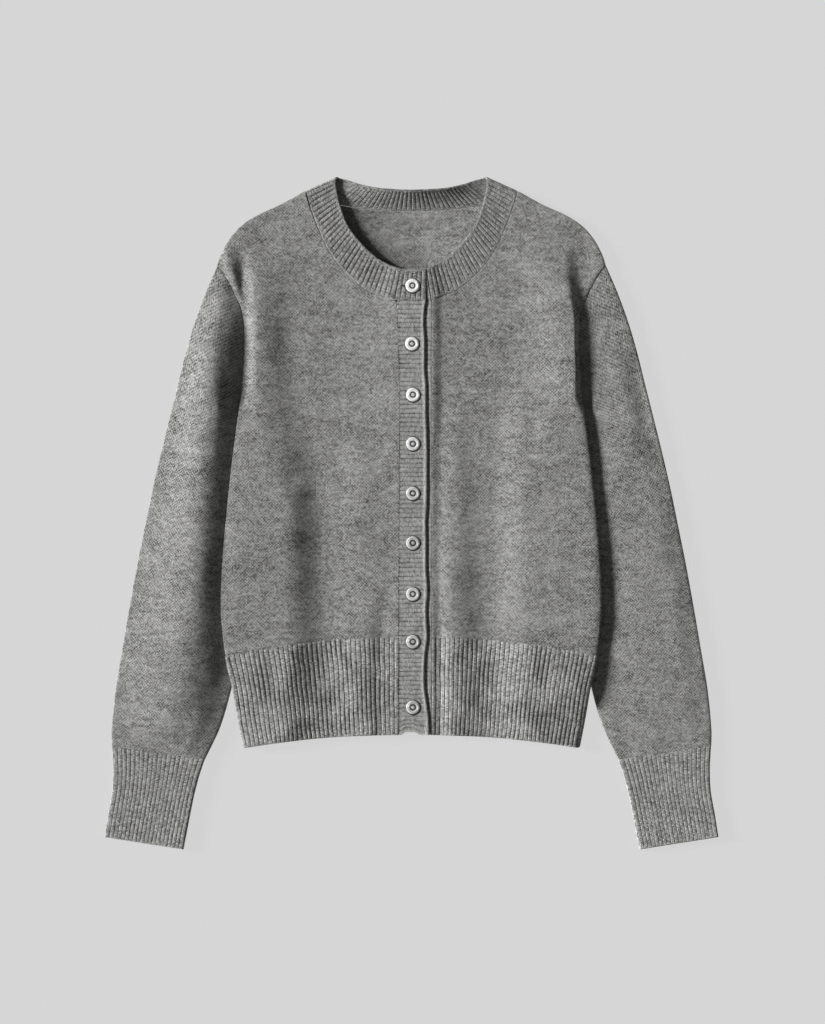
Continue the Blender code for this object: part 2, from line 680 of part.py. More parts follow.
def neckband():
    """One band: from its end on the button band round the back to its end on the lap. It folds
    over at each shoulder, so the back of the neck shows its inner face."""
    across = (0.0, 0.5, 1.0)
    half = RIB_WALL / 2
    front_z = 2 * NECK_FOLD_RADIUS + half
    fold_seam, fold_edge = Vector(NECK_POINT), Vector(NECK_EDGE[-1])
    along_fold = (fold_edge - fold_seam).normalized()
    out = Vector((along_fold.y, -along_fold.x))

    def held_back(rows):
        """Rows whose last point stops where the fold's wall begins to turn."""
        before, end = Vector(rows[-2][:2]), Vector(rows[-1][:2])
        back = (before - end).normalized()
        place = end - back * (half + NECK_FOLD_RADIUS) / back.dot(out)
        return [*rows[:-1], (*place, *rows[-1][2:])]

    front_seam, front_edge = held_back(NECK_SEAM), held_back(NECK_EDGE)
    back_seam = Seam(held_back(BACK_NECK_SEAM), -SEAM / 2)
    back_edge = Line(held_back(BACK_NECK_EDGE))

    def station(side, low, high, low_z, high_z, power=1.0):
        points = []
        for u in across:
            x, y = low.lerp(high, u)
            points.append(Vector((side * x, y, low_z + (high_z - low_z) * u**power)))
        return points

    def front(side, end):
        seam = Seam([(end, 216.8), *front_seam], -SEAM / 2)
        edge = Line([(end, 248.8), *front_edge])
        count = 2 * NECK_RIBS_FRONT
        stations = []
        for k in range(count + 1):
            share = k / count
            low, high = seam.at(share), edge.beside(share)
            z = under_front(side * low.x, low.y) + half
            if low.x < 13:
                z = (HIGH_BAND_Z if side < 0 else LOW_BAND_Z) + half
            z += (front_z - z) * smooth((share - 0.75) / 0.25)
            edge_rise = NECK_EDGE_RISE * smooth((share - 0.15) / 0.3) * smooth((1 - share) / 0.3)
            stations.append(station(side, low, high, z, z + edge_rise))
        return stations

    def fold(side):
        tops = Vector(front_seam[-1]), Vector(front_edge[-1])
        bottoms = Vector(back_seam.corners[-1]), Vector(back_edge.rows[-1][:2])
        stations = []
        for k in range(1, NECK_FOLD_STEPS):
            angle = math.pi * k / NECK_FOLD_STEPS
            low, high = (
                a.lerp(b, k / NECK_FOLD_STEPS) + out * NECK_FOLD_RADIUS * math.sin(angle)
                for a, b in zip(tops, bottoms)
            )
            z = half + NECK_FOLD_RADIUS * (1 + math.cos(angle))
            stations.append(station(side, low, high, z, z))
        return stations

    def back(side, count):
        stations = []
        for k in range(count):
            share = 1 - k / NECK_RIBS_BACK
            low, high = back_seam.at(share), back_edge.beside(share)
            stations.append(station(side, low, high, half, back_edge.at(share, 2), power=1.7))
        return stations

    right = front(-1, -LAP[1].edge) + fold(-1) + back(-1, NECK_RIBS_BACK + 1)
    left = front(1, BUTTON_BAND[0]) + fold(1) + back(1, NECK_RIBS_BACK)
    stations = right + left[::-1]
    count = len(stations)
    fronts = 2 * NECK_RIBS_FRONT + 1
    hidden = fronts + NECK_FOLD_STEPS + 11  # the back's first ribs lie under the front

    outer, inner = [], []
    for u in range(len(across)):
        outer_row, inner_row = [], []
        for c in range(count):
            along = stations[min(c + 1, count - 1)][u] - stations[max(c - 1, 0)][u]
            up = stations[c][min(u + 1, len(across) - 1)] - stations[c][max(u - 1, 0)]
            if u == 0:
                up.z = 0
            normal = up.cross(along).normalized()
            from_end = min(c, count - 1 - c)
            outer_rib = RIB_RISE * (c % 2 == 1 and from_end < fronts)
            inner_rib = RIB_RISE * (c % 2 == 1 and from_end > hidden)
            outer_row.append(stations[c][u] + normal * (half + outer_rib))
            inner_row.append(stations[c][u] - normal * (half + inner_rib))
        outer.append(outer_row)
        inner.append(inner_row)
    keep = [c for c in range(count) if min(c, count - 1 - c) > fronts or c % 4 == 0]
    keep.append(count - 1)
    shell("neckband", outer, inner, "rib", keep=keep)


def band(name, left_x, right_x, underside):
    """A ribbed front band: left_x(y) and right_x(y) are its edges."""
    bottom = HEM_BOTTOM[0]
    count = 2 * BAND_RIBS
    rows = [[], []]
    for k in range(count + 1):
        y = BAND_TOP_Y + (bottom - BAND_TOP_Y) * k / count
        for row, x in zip(rows, (left_x(y), right_x(y))):
            row.append((x, y, underside, underside + RIB_WALL))
    lying(name, rows, "rib", keep=range(0, count + 1, 4), rib=lambda c: BAND_RIB_RISE * (c % 2))


def button_mesh():
    """The profile of a button, turned by the Screw modifier that each button carries."""
    mesh = bpy.data.meshes.new("button")
    points = [(row.r * MM, 0, row.z * MM) for row in BUTTON_PROFILE]
    mesh.from_pydata(points, [(k, k + 1) for k in range(len(points) - 1)], [])
    mesh.materials.append(materials["shell"])
    return mesh


def button(number, mesh, x, y, z):
    obj = bpy.data.objects.new(f"button_{number}", mesh)
    obj.location = Vector((x, y, z)) * MM
    collection.objects.link(obj)
    turn = obj.modifiers.new("turn", "SCREW")
    turn.steps = turn.render_steps = BUTTON_STEPS
    turn.use_merge_vertices = True
    turn.merge_threshold = 1e-6


def build():
    back_panel()
    back_hem()
    for side_name, side in SIDES.items():
        front_panel(f"front_{side_name}", side)
        front_hem(f"hem_front_{side_name}", side)
        sleeve(f"sleeve_{side_name}", side)
        cuff(f"cuff_{side_name}", side)
    band("button_band", lambda y: BUTTON_BAND[0], lambda y: BUTTON_BAND[1], LOW_BAND_Z)
    band("buttonhole_band", lambda y: lap.at(y, 1), lambda y: lap.at(y, 2), HIGH_BAND_Z)
    neckband()
    mesh = button_mesh()
    for number, place in enumerate(BUTTONS, 1):
        rib = RIB_RISE if number == 1 else BAND_RIB_RISE
        button(number, mesh, *place, HIGH_BAND_Z + RIB_WALL + rib + SEAM)


for old in list(bpy.data.objects):
    bpy.data.objects.remove(old, do_unlink=True)
collection = bpy.data.collections.new("button_cardigan")
bpy.context.scene.collection.children.link(collection)
materials = {}
for row in COLOURS:
    material = bpy.data.materials.new(row.name)
    material.use_nodes = True
    shader = material.node_tree.nodes["Principled BSDF"]
    shader.inputs["Base Color"].default_value = (*row.colour, 1)
    shader.inputs["Roughness"].default_value = row.roughness
    materials[row.name] = material
build()
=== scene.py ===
import math

import bpy
import numpy as np
from mathutils import Matrix, Vector


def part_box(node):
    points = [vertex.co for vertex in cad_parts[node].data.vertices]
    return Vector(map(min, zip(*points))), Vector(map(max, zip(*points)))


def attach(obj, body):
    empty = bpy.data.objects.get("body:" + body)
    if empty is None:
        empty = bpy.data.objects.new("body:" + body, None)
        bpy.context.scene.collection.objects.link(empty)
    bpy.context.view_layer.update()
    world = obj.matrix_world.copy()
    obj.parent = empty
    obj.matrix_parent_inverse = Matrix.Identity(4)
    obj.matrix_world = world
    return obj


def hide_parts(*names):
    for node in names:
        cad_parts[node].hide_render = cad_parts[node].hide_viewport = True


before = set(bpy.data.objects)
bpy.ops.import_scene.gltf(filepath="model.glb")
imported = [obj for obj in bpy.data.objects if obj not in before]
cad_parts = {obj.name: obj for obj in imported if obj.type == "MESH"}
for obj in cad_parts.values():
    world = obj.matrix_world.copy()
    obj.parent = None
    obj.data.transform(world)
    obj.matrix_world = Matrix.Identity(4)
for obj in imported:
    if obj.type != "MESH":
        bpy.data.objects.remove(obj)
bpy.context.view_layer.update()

# Tables are in millimetres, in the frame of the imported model: x across, +y to the neck, z up.
mm = 0.001
right, left = -1, 1  # the wearer's sides; the right one laps over the left

cloth = {
    "wall": 2.2,
    "ribWall": 2.0,
    "ribRise": 0.48,
    "seamGap": 0.3,
    "joint": 0.06,  # what shows between two linked pieces
    "edgeWall": {right: 2.4, left: 1.0},  # wall left at a turned edge
    "curl": {right: 15.0, left: 12.0},  # how far in from its side a front starts to turn down
    "hemCurl": {right: 13.0, left: 9.0},
    "armholeCurl": {right: 15.0, left: 7.0},
    "armholeWall": 2.5,  # wall of a front along the armhole
    "seamRim": 0.35,  # wall whose rounding is left along a linked seam
    "wale": 1.25,  # width of a column of stitches
    "course": 1.25,  # height of a row of stitches
    "far": 99.0,  # a distance that no edge effect reaches
}

body = {
    "side": [  # y, x
        (-245, 171.5), (-239.7, 172.4), (-212, 177.3), (-178, 182.3), (-144.8, 189.2),
        (-127.5, 191.8), (-101, 194.0), (-73.4, 193.8), (-45.9, 192.4), (1, 188.3),
        (54, 182.6), (77.5, 179.5), (110, 175.2), (123.4, 173.9), (140.8, 172.9),
        (156, 171.9), (176.5, 171.4), (196.9, 172.4), (210, 174.9), (220.3, 179.5),
        (231.5, 184.6), (241.7, 190.7), (252.5, 198.4),
    ],
    "underarm": (174.0, 122.0),
    "shoulder": [
        (108.6, 328.4), (134.6, 314.2), (157.1, 304.0), (174.4, 292.7), (186.7, 278.5),
        (194.8, 263.2), (198.4, 252.5),
    ],
    "neckSeam": [
        (15.6, 216.8), (30, 220.6), (46, 227.5), (64.5, 241.7), (78.5, 258.0),
        (88.3, 274.4), (96.0, 291.7), (104.0, 313.1), (108.6, 328.4),
    ],
    "backNeckSeam": [
        (0, 308.0), (20, 308.4), (40, 309.7), (60, 312.2), (76, 315.2), (88, 318.9),
        (99, 323.4), (108.6, 328.4),
    ],
    "hemTop": (-126.3, 18.5, 186.0),  # y at the centre, dip, half width where it is reached
    "hemBottom": (-226.3, 13.6, 171.0),
    "hemCurve": 2.2,
    "tuck": [  # y, how far the sleeve's inner edge lies under the body
        (-300, 8), (-178, 8), (-150, 14), (-125, 25), (-89, 35.6), (-50, 43.2), (-20, 45.5),
        (13, 41.5), (40, 31.5), (60, 20.5), (80, 9.5), (98, 8), (300, 8),
    ],
    "tuckRamp": 38.0,  # width over which the body climbs on to the sleeve
    "fullClimb": {right: 16.0, left: 28.0},  # how far before the sleeve's edge it is fully up
    "overSleeve": 5.7,
    # how far below the underarm it starts to climb, and over what length
    "climbStart": (2.0, 22.0),
    "climbEnd": (-222.0, 40.0),  # where it is down again at the hem, and over what length
    # x and y at the top, x and y at the bottom, half width, lift of the back
    "folds": [
        (-46, 110, -50, -320, 36, 2.6), (44, 112, 47, -320, 22, 2.7),
        (-134, 150, -136, -320, 34, 2.2), (118, 160, 120, -320, 34, 2.4),
    ],
    "foldFade": 60.0,
}


def smooth(share):
    share = np.clip(share, 0, 1)
    return share * share * (3 - 2 * share)


def ridge(distance, halfWidth):
    share = np.clip(np.abs(distance / halfWidth), 0, 1)
    return (1 - share * share) ** 2


def curve(rows, keyed=False):
    # a soft line through rows of numbers, read by the first column or by its share of length
    points = np.array(sorted(rows) if keyed else rows, float)
    if keyed:
        keys = points[:, 0]
    else:
        reach = np.hypot(*np.diff(points[:, :2], axis=0).T).cumsum()
        keys = np.append(0, reach) / reach[-1]
    last = len(keys) - 1
    low, high = np.r_[0, 0:last], np.r_[1:last + 1, last]
    slopes = (points[high] - points[low]) / (keys[high] - keys[low])[:, None]

    def at(key):
        key = np.asarray(key, float)
        i = np.clip(np.searchsorted(keys, key, "right") - 1, 0, last - 1)
        step = (keys[i + 1] - keys[i])[..., None]
        t = (key[..., None] - keys[i][..., None]) / step
        return (
            (2 * t**3 - 3 * t**2 + 1) * points[i] + (t**3 - 2 * t**2 + t) * step * slopes[i]
            + (3 * t**2 - 2 * t**3) * points[i + 1] + (t**3 - t**2) * step * slopes[i + 1]
        )

    at.bottom, at.top = (keys[0], keys[-1]) if keyed else (0, 1)
    return at


def beside(line, share, distance=0.0):
    # a point beside a line, to the right of its direction
    share = np.asarray(share, float)
    along = line(np.minimum(share + 1e-3, 1))[..., :2] - line(np.maximum(share - 1e-3, 0))[..., :2]
    along = along / np.linalg.norm(along, axis=-1, keepdims=True)
    aside = np.stack([along[..., 1], -along[..., 0]], -1)
    return line(share)[..., :2] + distance * aside


def unevenness(x, y, size, seed):
    # soft random numbers around 0, with lumps of about this size
    grid = np.random.default_rng(seed).uniform(-1, 1, (64, 64))
    u, v = np.asarray(x) / size + 200.5, np.asarray(y) / size + 200.5
    i, j = np.floor(u).astype(int), np.floor(v).astype(int)
    a, b = smooth(u - i), smooth(v - j)
    i0, i1, j0, j1 = i % 64, (i + 1) % 64, j % 64, (j + 1) % 64
    low = grid[i0, j0] * (1 - a) + grid[i1, j0] * a
    high = grid[i0, j1] * (1 - a) + grid[i1, j1] * a
    return low * (1 - b) + high * b


sideLine = curve(body["side"], keyed=True)
tuckLine = curve(body["tuck"], keyed=True)
shoulderLine = curve(body["shoulder"])
neckLine = curve(body["neckSeam"])
backNeckLine = curve(body["backNeckSeam"])
armholeLine = curve([
    *((*sideLine(y)[:0:-1], y) for y in np.linspace(body["shoulder"][-1][1], 124, 44)),
    body["underarm"],
])


def hemY(line, x):
    centreY, dip, reach = line
    return centreY - dip * (np.abs(x) / reach) ** body["hemCurve"]


def backFolds(x, y):
    # lift of the back in its soft folds, which fade at both ends
    lift = 0
    for xTop, yTop, xBottom, yBottom, halfWidth, height in body["folds"]:
        lineX = xTop + (xBottom - xTop) * (yTop - y) / (yTop - yBottom)
        ends = smooth((yTop - y) / body["foldFade"]) * smooth((y - yBottom) / body["foldFade"])
        lift = lift + height * ridge(x - lineX, halfWidth) * ends
    return lift


def backUnder(x, y):
    # height of the back's underside: in the folds, and where it lies on a sleeve
    before = np.where(x < 0, body["fullClimb"][right], body["fullClimb"][left])
    full = sideLine(y)[..., 1] - tuckLine(y)[..., 1] - before
    across = smooth((np.abs(x) - full) / body["tuckRamp"] + 1)
    (below, overTop), (atHem, overHem) = body["climbStart"], body["climbEnd"]
    along = smooth((body["underarm"][1] - below - y) / overTop) * smooth((y - atHem) / overHem)
    onSleeve = across * along
    return np.maximum(body["overSleeve"] * onSleeve, backFolds(x, y) * (1 - onSleeve))


def softMax(a, b, blend):
    return 0.5 * (a + b + np.sqrt((a - b) ** 2 + blend * blend))


# Folds of the fronts' upper face. A step climbs from its foot to its full height and stays
# there to the side; a ridge has an outer and an inner flank. Distances from the centre line.
frontFolds = {
    "flat": 5.4,  # height of the upper face where nothing lifts it
    "relief": 0.72,  # share of the heights below
    "fallWidth": 52,  # how far in from the side the fall begins
    "ripples": [(0.30, 23, 3), (0.12, 9, 4)],  # height, size of the lumps, draw
    "overBack": (0.4, 0.8),  # least gap over the back's upper face, and how softly it is met
    "steps": {  # y, foot, full, height, fall to the side
        right: [
            (150, 112, 155, 0, 0), (122, 112, 157, 2.2, 0), (100, 104, 156, 5.6, 0),
            (80, 98, 152, 7.6, 0), (50, 93, 142, 8.6, 0), (0, 88, 131, 8.9, 0),
            (-60, 86, 129, 8.6, 0), (-130, 86, 130, 7.4, 0.4), (-180, 87, 131, 6.2, 1.6),
            (-245, 88, 134, 5.0, 3.0),
        ],
        left: [
            (160, 84, 120, 0, 0), (125, 84, 118, 2.0, 0), (95, 84, 118, 4.2, 0),
            (60, 83, 118, 5.8, 0), (0, 82, 118, 6.6, 0), (-60, 81, 118, 7.0, 0),
            (-130, 81, 119, 6.8, 0.6), (-180, 81, 120, 6.1, 2.4), (-245, 82, 120, 5.2, 3.6),
        ],
    },
    "ridges": {  # y, place, outer flank, inner flank, height
        right: [
            [(225, 16, 56, 30, 0), (200, 16, 56, 30, 1.0), (135, 16, 56, 30, 1.6),
             (95, 16, 58, 30, 2.4), (0, 17, 58, 30, 2.7), (-45, 20, 56, 30, 3.0),
             (-85, 40, 42, 26, 3.8), (-130, 45, 38, 28, 4.2), (-245, 47, 38, 28, 4.5)],
            [(270, 160, 14, 40, 0), (245, 159, 15, 42, 4.2), (215, 158, 15, 42, 6.2),
             (170, 157, 15, 42, 6.4), (130, 157, 16, 45, 5.4), (105, 157, 18, 50, 2.6),
             (85, 157, 20, 50, 0)],
            [(280, 189, 12, 18, 0), (264, 188, 12, 17, 3.2), (248, 186, 12, 15, 4.8),
             (232, 182, 12, 11, 4.4), (220, 177, 10, 7, 2.2), (208, 173, 8, 6, 0)],
        ],
        left: [
            [(115, 40, 36, 18, 0), (95, 40, 36, 19, 0.6), (54, 40, 36, 20, 1.9),
             (13, 40, 37, 20, 2.9), (-28, 40, 37, 20, 3.6), (-68, 41, 37, 20, 4.6),
             (-109, 42, 37, 20, 4.8), (-245, 43, 37, 20, 4.8)],
            [(280, 156, 18, 60, 0), (240, 156, 18, 60, 5.2), (200, 164, 12, 60, 8.0),
             (150, 167.5, 9, 58, 8.4), (128, 170.5, 9, 58, 7.0), (105, 174, 10, 55, 3.6),
             (80, 175, 12, 55, 0)],
        ],
    },
}
stepLines = {side: curve(rows, keyed=True) for side, rows in frontFolds["steps"].items()}
ridgeLines = {
    side: [curve(rows, keyed=True) for rows in ridges]
    for side, ridges in frontFolds["ridges"].items()
}


def foldHeight(side, x, y):
    # how far the folds of one front lift its upper face; x is counted from the centre line
    foot, full, height, fall = np.moveaxis(stepLines[side](y)[..., 1:], -1, 0)
    total = np.maximum(height, 0) * smooth((x - foot) / (full - foot))
    total = total - fall * smooth(1 - (sideLine(y)[..., 1] - x) / frontFolds["fallWidth"])
    for line in ridgeLines[side]:
        place, outer, inner, height = np.moveaxis(line(y)[..., 1:], -1, 0)
        distance = (x - place) / np.where(x > place, outer, inner)
        flank = 0.5 + 0.5 * np.cos(np.pi * np.clip(distance, -1, 1))
        within = (y < line.top) & (y > line.bottom)
        total = total + np.where(within, np.maximum(height, 0), 0) * flank
    return total * frontFolds["relief"]


closure = {
    "lap": [  # y, seam and free edge of the buttonhole band
        (250, -15.2, 15.0), (217, -15.0, 14.8), (205, -14.4, 13.2), (192, -13.8, 12.8),
        (176, -13.2, 13.8), (160, -12.8, 13.8), (146, -12.4, 13.7), (128, -11.8, 15.1),
        (105, -11.8, 15.1), (84, -11.9, 15.8), (64, -12.0, 16.2), (34, -12.1, 16.1),
        (5, -12.2, 15.8), (-8, -12.2, 14.8), (-28, -12.4, 15.3), (-58, -12.6, 15.3),
        (-80, -12.6, 16.6), (-99, -12.7, 15.2), (-128, -12.8, 16.2), (-142, -12.8, 14.3),
        (-165, -12.8, 13.2), (-181, -12.8, 13.8), (-195, -12.8, 15.9), (-212, -12.8, 17.8),
        (-230, -12.8, 18.0),
    ],
    "buttonBand": (-5.0, 20.5),
    "topY": 216.7,
    "lowZ": 2.6,  # underside of the button band
    "highZ": 5.8,  # underside of the buttonhole band
    "showing": (-1.2, 5.0, 2.7),  # where the button band starts to rise beside the lap, width, rise
    "sunk": 0.2,  # how much lower a front lies than the band that it is linked to
    # a front comes to its band's height from this far out, over this width
    "blend": {right: (13, 28), left: (21, 12)},
    "hemLift": (48, 20, -90, 50),  # the right front is raised inside this x, below this y
    "ribs": 96,
    "ribRise": 0.75,
    "edgeBead": (1.7, 1.1, 0.55),  # place from the free edge, half width, height
    "notch": (-10.5, 4.5, 9.5, 7.0, 3.0),  # left end, its slope, right end, its slope, depth
}
lapLine = curve(closure["lap"], keyed=True)


def buttonBandUnder(x, y):
    start, width, rise = closure["showing"]
    return closure["lowZ"] + rise * smooth((x - lapLine(y)[..., 2] - start) / width)


def frontUnder(x, y):
    # underside of a front; it comes to the height of the bands towards them
    out = np.abs(x)
    lifted = np.where(x < 0, foldHeight(right, out, y), foldHeight(left, out, y))
    ripples = sum(size * unevenness(x, y, *rest) for size, *rest in frontFolds["ripples"])
    height = frontFolds["flat"] - cloth["wall"] + lifted + ripples
    least, softness = frontFolds["overBack"]
    height = softMax(height, backUnder(x, y) + cloth["wall"] + least, softness)
    onLap = closure["highZ"] - closure["sunk"]
    underLap = buttonBandUnder(closure["blend"][left][0] + 0.0, y) - closure["sunk"]
    within, overX, below, overY = closure["hemLift"]
    atHem = smooth((within - out) / overX) * smooth((below - y) / overY)
    ends = {right: height + atHem * np.maximum(onLap - 0.3 - height, 0), left: height}
    for side, band, place in ((right, onLap, out), (left, underLap, x)):
        start, width = closure["blend"][side]
        ends[side] = ends[side] + (band - ends[side]) * smooth(1 - (place - start) / width)
    return np.where(x < 0, ends[right], ends[left])


def frontWalls(x, y, thickness, share):
    # heights of a front's two faces; share falls from 1 to 0 over its turned edge
    low = backUnder(x, y) + cloth["wall"] + cloth["seamGap"]
    flat = frontUnder(x, y)
    edgeWall = np.where(x < 0, cloth["edgeWall"][right], cloth["edgeWall"][left])
    high = low + edgeWall + (cloth["armholeWall"] - edgeWall) * atArmhole(y)
    return low + (flat - low) * share, high + (flat + thickness - high) * share


def turnShare(distance, curl, power=0.5):
    inside = np.clip(1 - distance / curl, 0, 1)
    return (1 - inside**2) ** power


def curlAt(side, y):
    # width of the soft turn at a front's side: less at the rib, and just above the hem
    curl, hemCurl = cloth["curl"][side], cloth["hemCurl"][side]
    curl = curl + (cloth["armholeCurl"][side] - curl) * atArmhole(y)
    return hemCurl + (curl - hemCurl) * smooth((y + 165) / 90)


def atArmhole(y):
    return smooth((y - body["underarm"][1] + 8) / 46)


def rimDrop(distance, wall):
    # how much a rounded rim takes off each face, at this distance from it
    half = wall / 2
    inside = np.clip(1 - distance / half, 0, 1)
    return 0.9 * half * (1 - np.sqrt(1 - inside**2))


def columnsBetween(start, end, step, closeIn=(0.0, 0.25, 0.7, 1.4, 2.4, 3.7)):
    # distances from start to end, close together by both ends
    closeIn = np.array(closeIn)
    middleStart, middleEnd = start + closeIn[-1], end - closeIn[-1]
    count = max(2, round((middleEnd - middleStart) / step))
    middle = np.linspace(middleStart, middleEnd, count + 1)[1:-1]
    return np.concatenate([start + closeIn, middle, (end - closeIn)[::-1]])


def wallFaces(rows, columns, wrap):
    r = np.arange(rows - 1)[:, None]
    c = np.arange(columns if wrap else columns - 1)[None, :]
    corners = [(r, c), (r, c + 1), (r + 1, c + 1), (r + 1, c)]
    return [np.broadcast_arrays(a, b) for a, b in corners]


def clothPiece(name, outer, inner, uv, node, material, slot, wrap=False, edges=None):
    # A thin shell between two grids of points. uv counts stitches across and along; edges
    # holds the distances to a free edge and to a linked seam.
    rows, columns = outer.shape[:2]
    points = np.concatenate([outer.reshape(-1, 3), inner.reshape(-1, 3)]) * mm
    if edges is None:
        edges = (cloth["far"], cloth["far"])
    edges = np.stack([np.broadcast_to(part, (rows, columns)) for part in edges], -1)
    uvGrid = np.concatenate([uv, edges], -1)
    if wrap:
        again = uvGrid[:, :1].copy()
        again[..., 0] += np.sign(uv[0, -1, 0] - uv[0, 0, 0]) * (np.ptp(uvGrid[..., 0]) + 1)
        uvGrid = np.concatenate([uvGrid, again], 1)

    def number(r, c, wall):
        return wall * rows * columns + r * columns + c % columns

    faces, uvs = [], []

    def add(corners, walls):
        ids = [number(r, c, wall) for (r, c), wall in zip(corners, walls)]
        faces.append(np.stack(ids, -1).reshape(-1, 4))
        uvs.append(np.stack([uvGrid[r, c] for r, c in corners], -2).reshape(-1, 4, 4))

    def addRim(first, second, turned):
        # the wall along one edge, from its points to the next ones
        way = -1 if turned else 1
        add([first, second, second, first][::way], (0, 0, 1, 1)[::way])

    skin = wallFaces(rows, columns, wrap)
    add(skin, (0, 0, 0, 0))
    add(skin[::-1], (1, 1, 1, 1))
    c = np.arange(columns if wrap else columns - 1)
    for r in (0, rows - 1):
        addRim((r + 0 * c, c), (r + 0 * c, c + 1), turned=r == 0)
    if not wrap:
        r = np.arange(rows - 1)
        for c in (0, columns - 1):
            addRim((r, c + 0 * r), (r + 1, c + 0 * r), turned=c > 0)
    faces, uvs = np.concatenate(faces), np.concatenate(uvs)
    a, b, c, d = (points[faces[:, k]] for k in range(4))
    volume = (np.cross(a, b) * c).sum() + (np.cross(a, c) * d).sum()
    if volume < 0:
        faces, uvs = faces[:, ::-1], uvs[:, ::-1]
    mesh = bpy.data.meshes.new(name)
    mesh.from_pydata(points, [], faces)
    for layerName, part in (("stitches", uvs[..., :2]), ("edges", uvs[..., 2:])):
        layer = mesh.uv_layers.new(name=layerName)
        layer.data.foreach_set("uv", np.ascontiguousarray(part).reshape(-1).astype(np.float32))
    mesh.shade_smooth()
    mesh.materials.append(material)
    piece = bpy.data.objects.new(name, mesh)
    bpy.context.scene.collection.objects.link(piece)
    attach(piece, "root")
    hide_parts(node)
    print(name, len(faces) * 2, "triangles")
    return piece


def layered(x, y, low, high):
    return np.stack([x, y, high], -1), np.stack([x, y, low], -1)


def stitchCount(x, y):
    return np.stack([x / cloth["wale"], y / cloth["course"]], -1)


def ribHeight(phase):
    # height of a rib over its groove: 0 in the groove and 1 on the flat of the rib
    inRib = np.abs((phase % 1) - 0.5) * 2
    return 1 - smooth((inRib - 0.72) / 0.28) ** 1.2


def ribColumns(count):
    # phases over a number of ribs, closer together in the grooves
    within = np.array([0, 0.05, 0.10, 0.16, 0.5, 0.84, 0.90, 0.95])
    return np.append((np.arange(count)[:, None] + within).reshape(-1), count)


def filled(node, values):
    # the node with these values in its inputs
    for socket, value in values.items():
        node.inputs[socket].default_value = value
    return node


def newMaterial(name, values):
    material = bpy.data.materials.new(name)
    material.use_nodes = True
    nodes, links = material.node_tree.nodes, material.node_tree.links
    return material, nodes, links, filled(nodes["Principled BSDF"], values)


